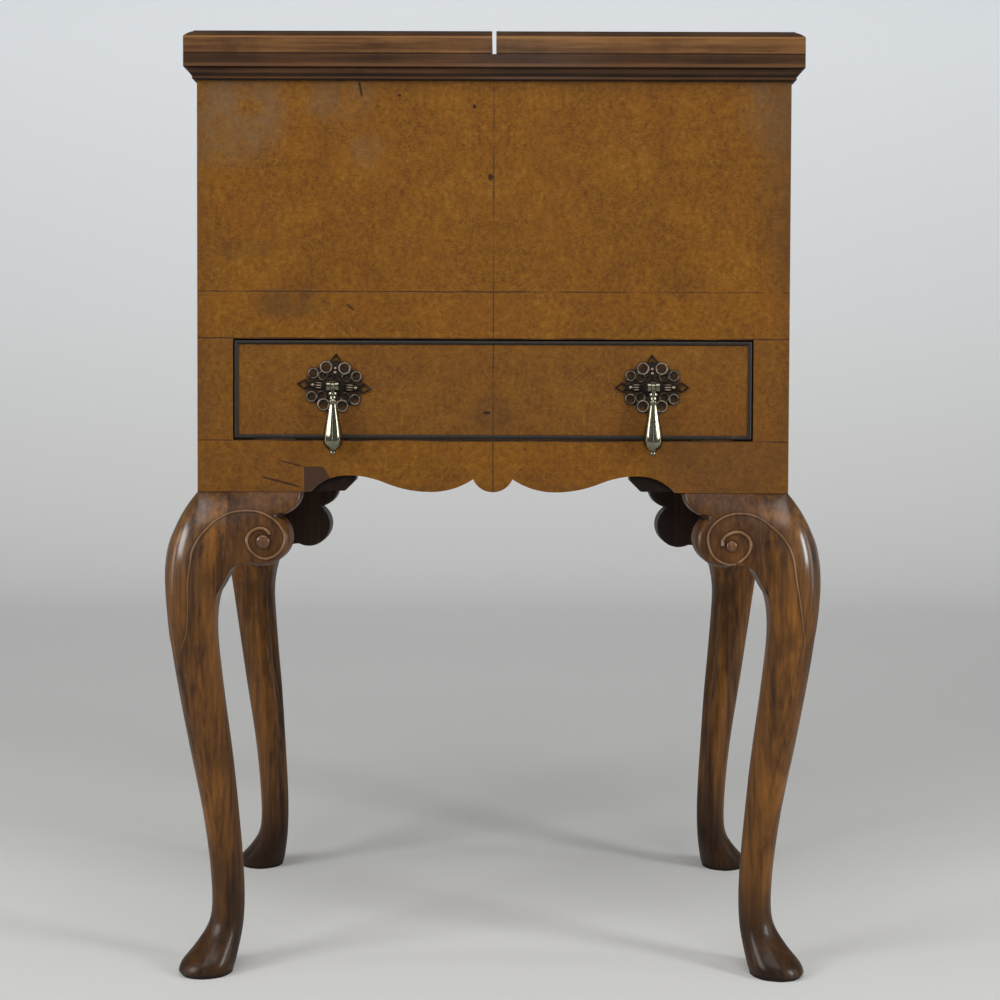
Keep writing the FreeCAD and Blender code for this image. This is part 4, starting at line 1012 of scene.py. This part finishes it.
def drop_pattern():
    """The drop with its soft lobes, drawn out ring by ring below the pin, which is at the origin."""
    start = 5.9                        # from the pin down to the drop's shoulder, in millimetres
    drop = made(bpy.ops.mesh.primitive_circle_add, vertices=72, radius=DROP_ROWS[0][1] * MM,
                fill_type="NGON", location=(0, 0, -start * MM))
    begin_edit(drop, "FACE")
    bpy.ops.mesh.select_all(action="SELECT")
    for (down, radius), (next_down, next_radius) in zip(DROP_ROWS, DROP_ROWS[1:]):
        bpy.ops.mesh.extrude_region_move(TRANSFORM_OT_translate={"value": (0, 0, (down - next_down) * MM)})
        ratio = next_radius / radius
        centre = (0, 0, -(start + next_down) * MM)
        bpy.ops.transform.resize(value=(ratio, ratio, 1), center_override=centre)
    bpy.ops.mesh.select_all(action="SELECT")
    bpy.ops.mesh.normals_make_consistent(inside=False)
    end_edit()
    for vertex in drop.data.vertices:
        down = -vertex.co.z / MM - start
        if 9.5 < down < 52:
            fade = min((down - 9.5) / 3, (52 - down) / 9, 1.0)
            turn = math.atan2(vertex.co.y, vertex.co.x) + math.pi / 2
            lobe = 1 - 0.035 * fade * (0.5 - 0.5 * math.cos(8 * turn))
            vertex.co.x *= lobe
            vertex.co.y *= lobe
    drop = join("drop_pattern", drop, drop_eye())
    soften(drop, 50)
    return drop


plate_model = plate_pattern()
drop_model = drop_pattern()
for side, turn in (("left", 4), ("right", 0)):
    post_low, post_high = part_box(side + "_pull_post")
    drop_low, drop_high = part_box(side + "_pull_drop")
    centre_x = (post_low.x + post_high.x) / 2
    pin_z = drop_high.z - EYE_RADIUS * MM
    plate = in_scene(side + "_pierced_plate", plate_model.data.copy())
    place = Matrix.Translation((centre_x, case_front, pin_z))
    plate.data.transform(place @ Matrix.Rotation(math.radians(turn), 4, "Y"))
    dress(plate, plate_brass, "drawer", side + "_pull_plate")
    drop = in_scene(side + "_fluted_drop", drop_model.data.copy())
    drop.data.transform(Matrix.Translation((centre_x, (drop_low.y + drop_high.y) / 2, pin_z)))
    dress(drop, drop_brass, side + "_pull", side + "_pull_drop")
    worked_round(side + "_pull_post", drop_brass, "drawer")
for model in (plate_model, drop_model):
    bpy.data.objects.remove(model)


# ---- hinge screws -----------------------------------------------------------
# Screws of one leaf: (across from the pin, along the hinge), in millimetres.
HINGE_SCREWS = ((9, -18), (9, 18), (17, 0))
pin_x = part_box("frame_leaves")[0].x + 2.5 * MM
hinge_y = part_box("frame_leaves")[0].y + 25 * MM


def screw_pattern():
    """A slotted head at the origin: two halves standing on a dark disc, painted shade in the countersink
    and the slot.
    """
    cylinder = bpy.ops.mesh.primitive_cylinder_add
    parts = [made(cylinder, vertices=32, radius=3.4 * MM, depth=0.06 * MM)]
    # The dark disc is painted shade in the countersink and under the slot.
    parts[0].data.materials.append(painted_shade_bracket)
    for side in (-1, 1):
        half = made(cylinder, vertices=32, radius=3.0 * MM, depth=0.2 * MM)
        half.data.materials.append(hinge_brass)
        begin_edit(half)
        bpy.ops.mesh.select_all(action="SELECT")
        bpy.ops.mesh.bisect(plane_co=(side * 0.45 * MM, 0, 0), plane_no=(side, 0, 0),
                            use_fill=True, clear_inner=True)
        end_edit()
        parts.append(half)
    return join("screw_pattern", *parts)


def leaf_screws(name, sides, level, body):
    """The screws of both hinges on each side, each slot turned its own way."""
    heads = []
    for side in sides:
        for end in (-1, 1):
            for n, (across, along) in enumerate(HINGE_SCREWS):
                head = in_scene(name, screw_model.data.copy())
                x = side * (pin_x + across * MM)
                place = Matrix.Translation((x, end * hinge_y + along * MM, level))
                head.data.transform(place @ Matrix.Rotation(0.5 + 1.3 * n + end, 4, "Z"))
                heads.append(head)
    dress(join(name, *heads), None, body)


screw_model = screw_pattern()
leaf_screws("frame_leaf_screws", (1, -1), cornice_high, "case")
leaf_screws("left_leaf_screws", (1,), lid_base, "left_lid")
leaf_screws("right_leaf_screws", (-1,), lid_base, "right_lid")
bpy.data.objects.remove(screw_model)
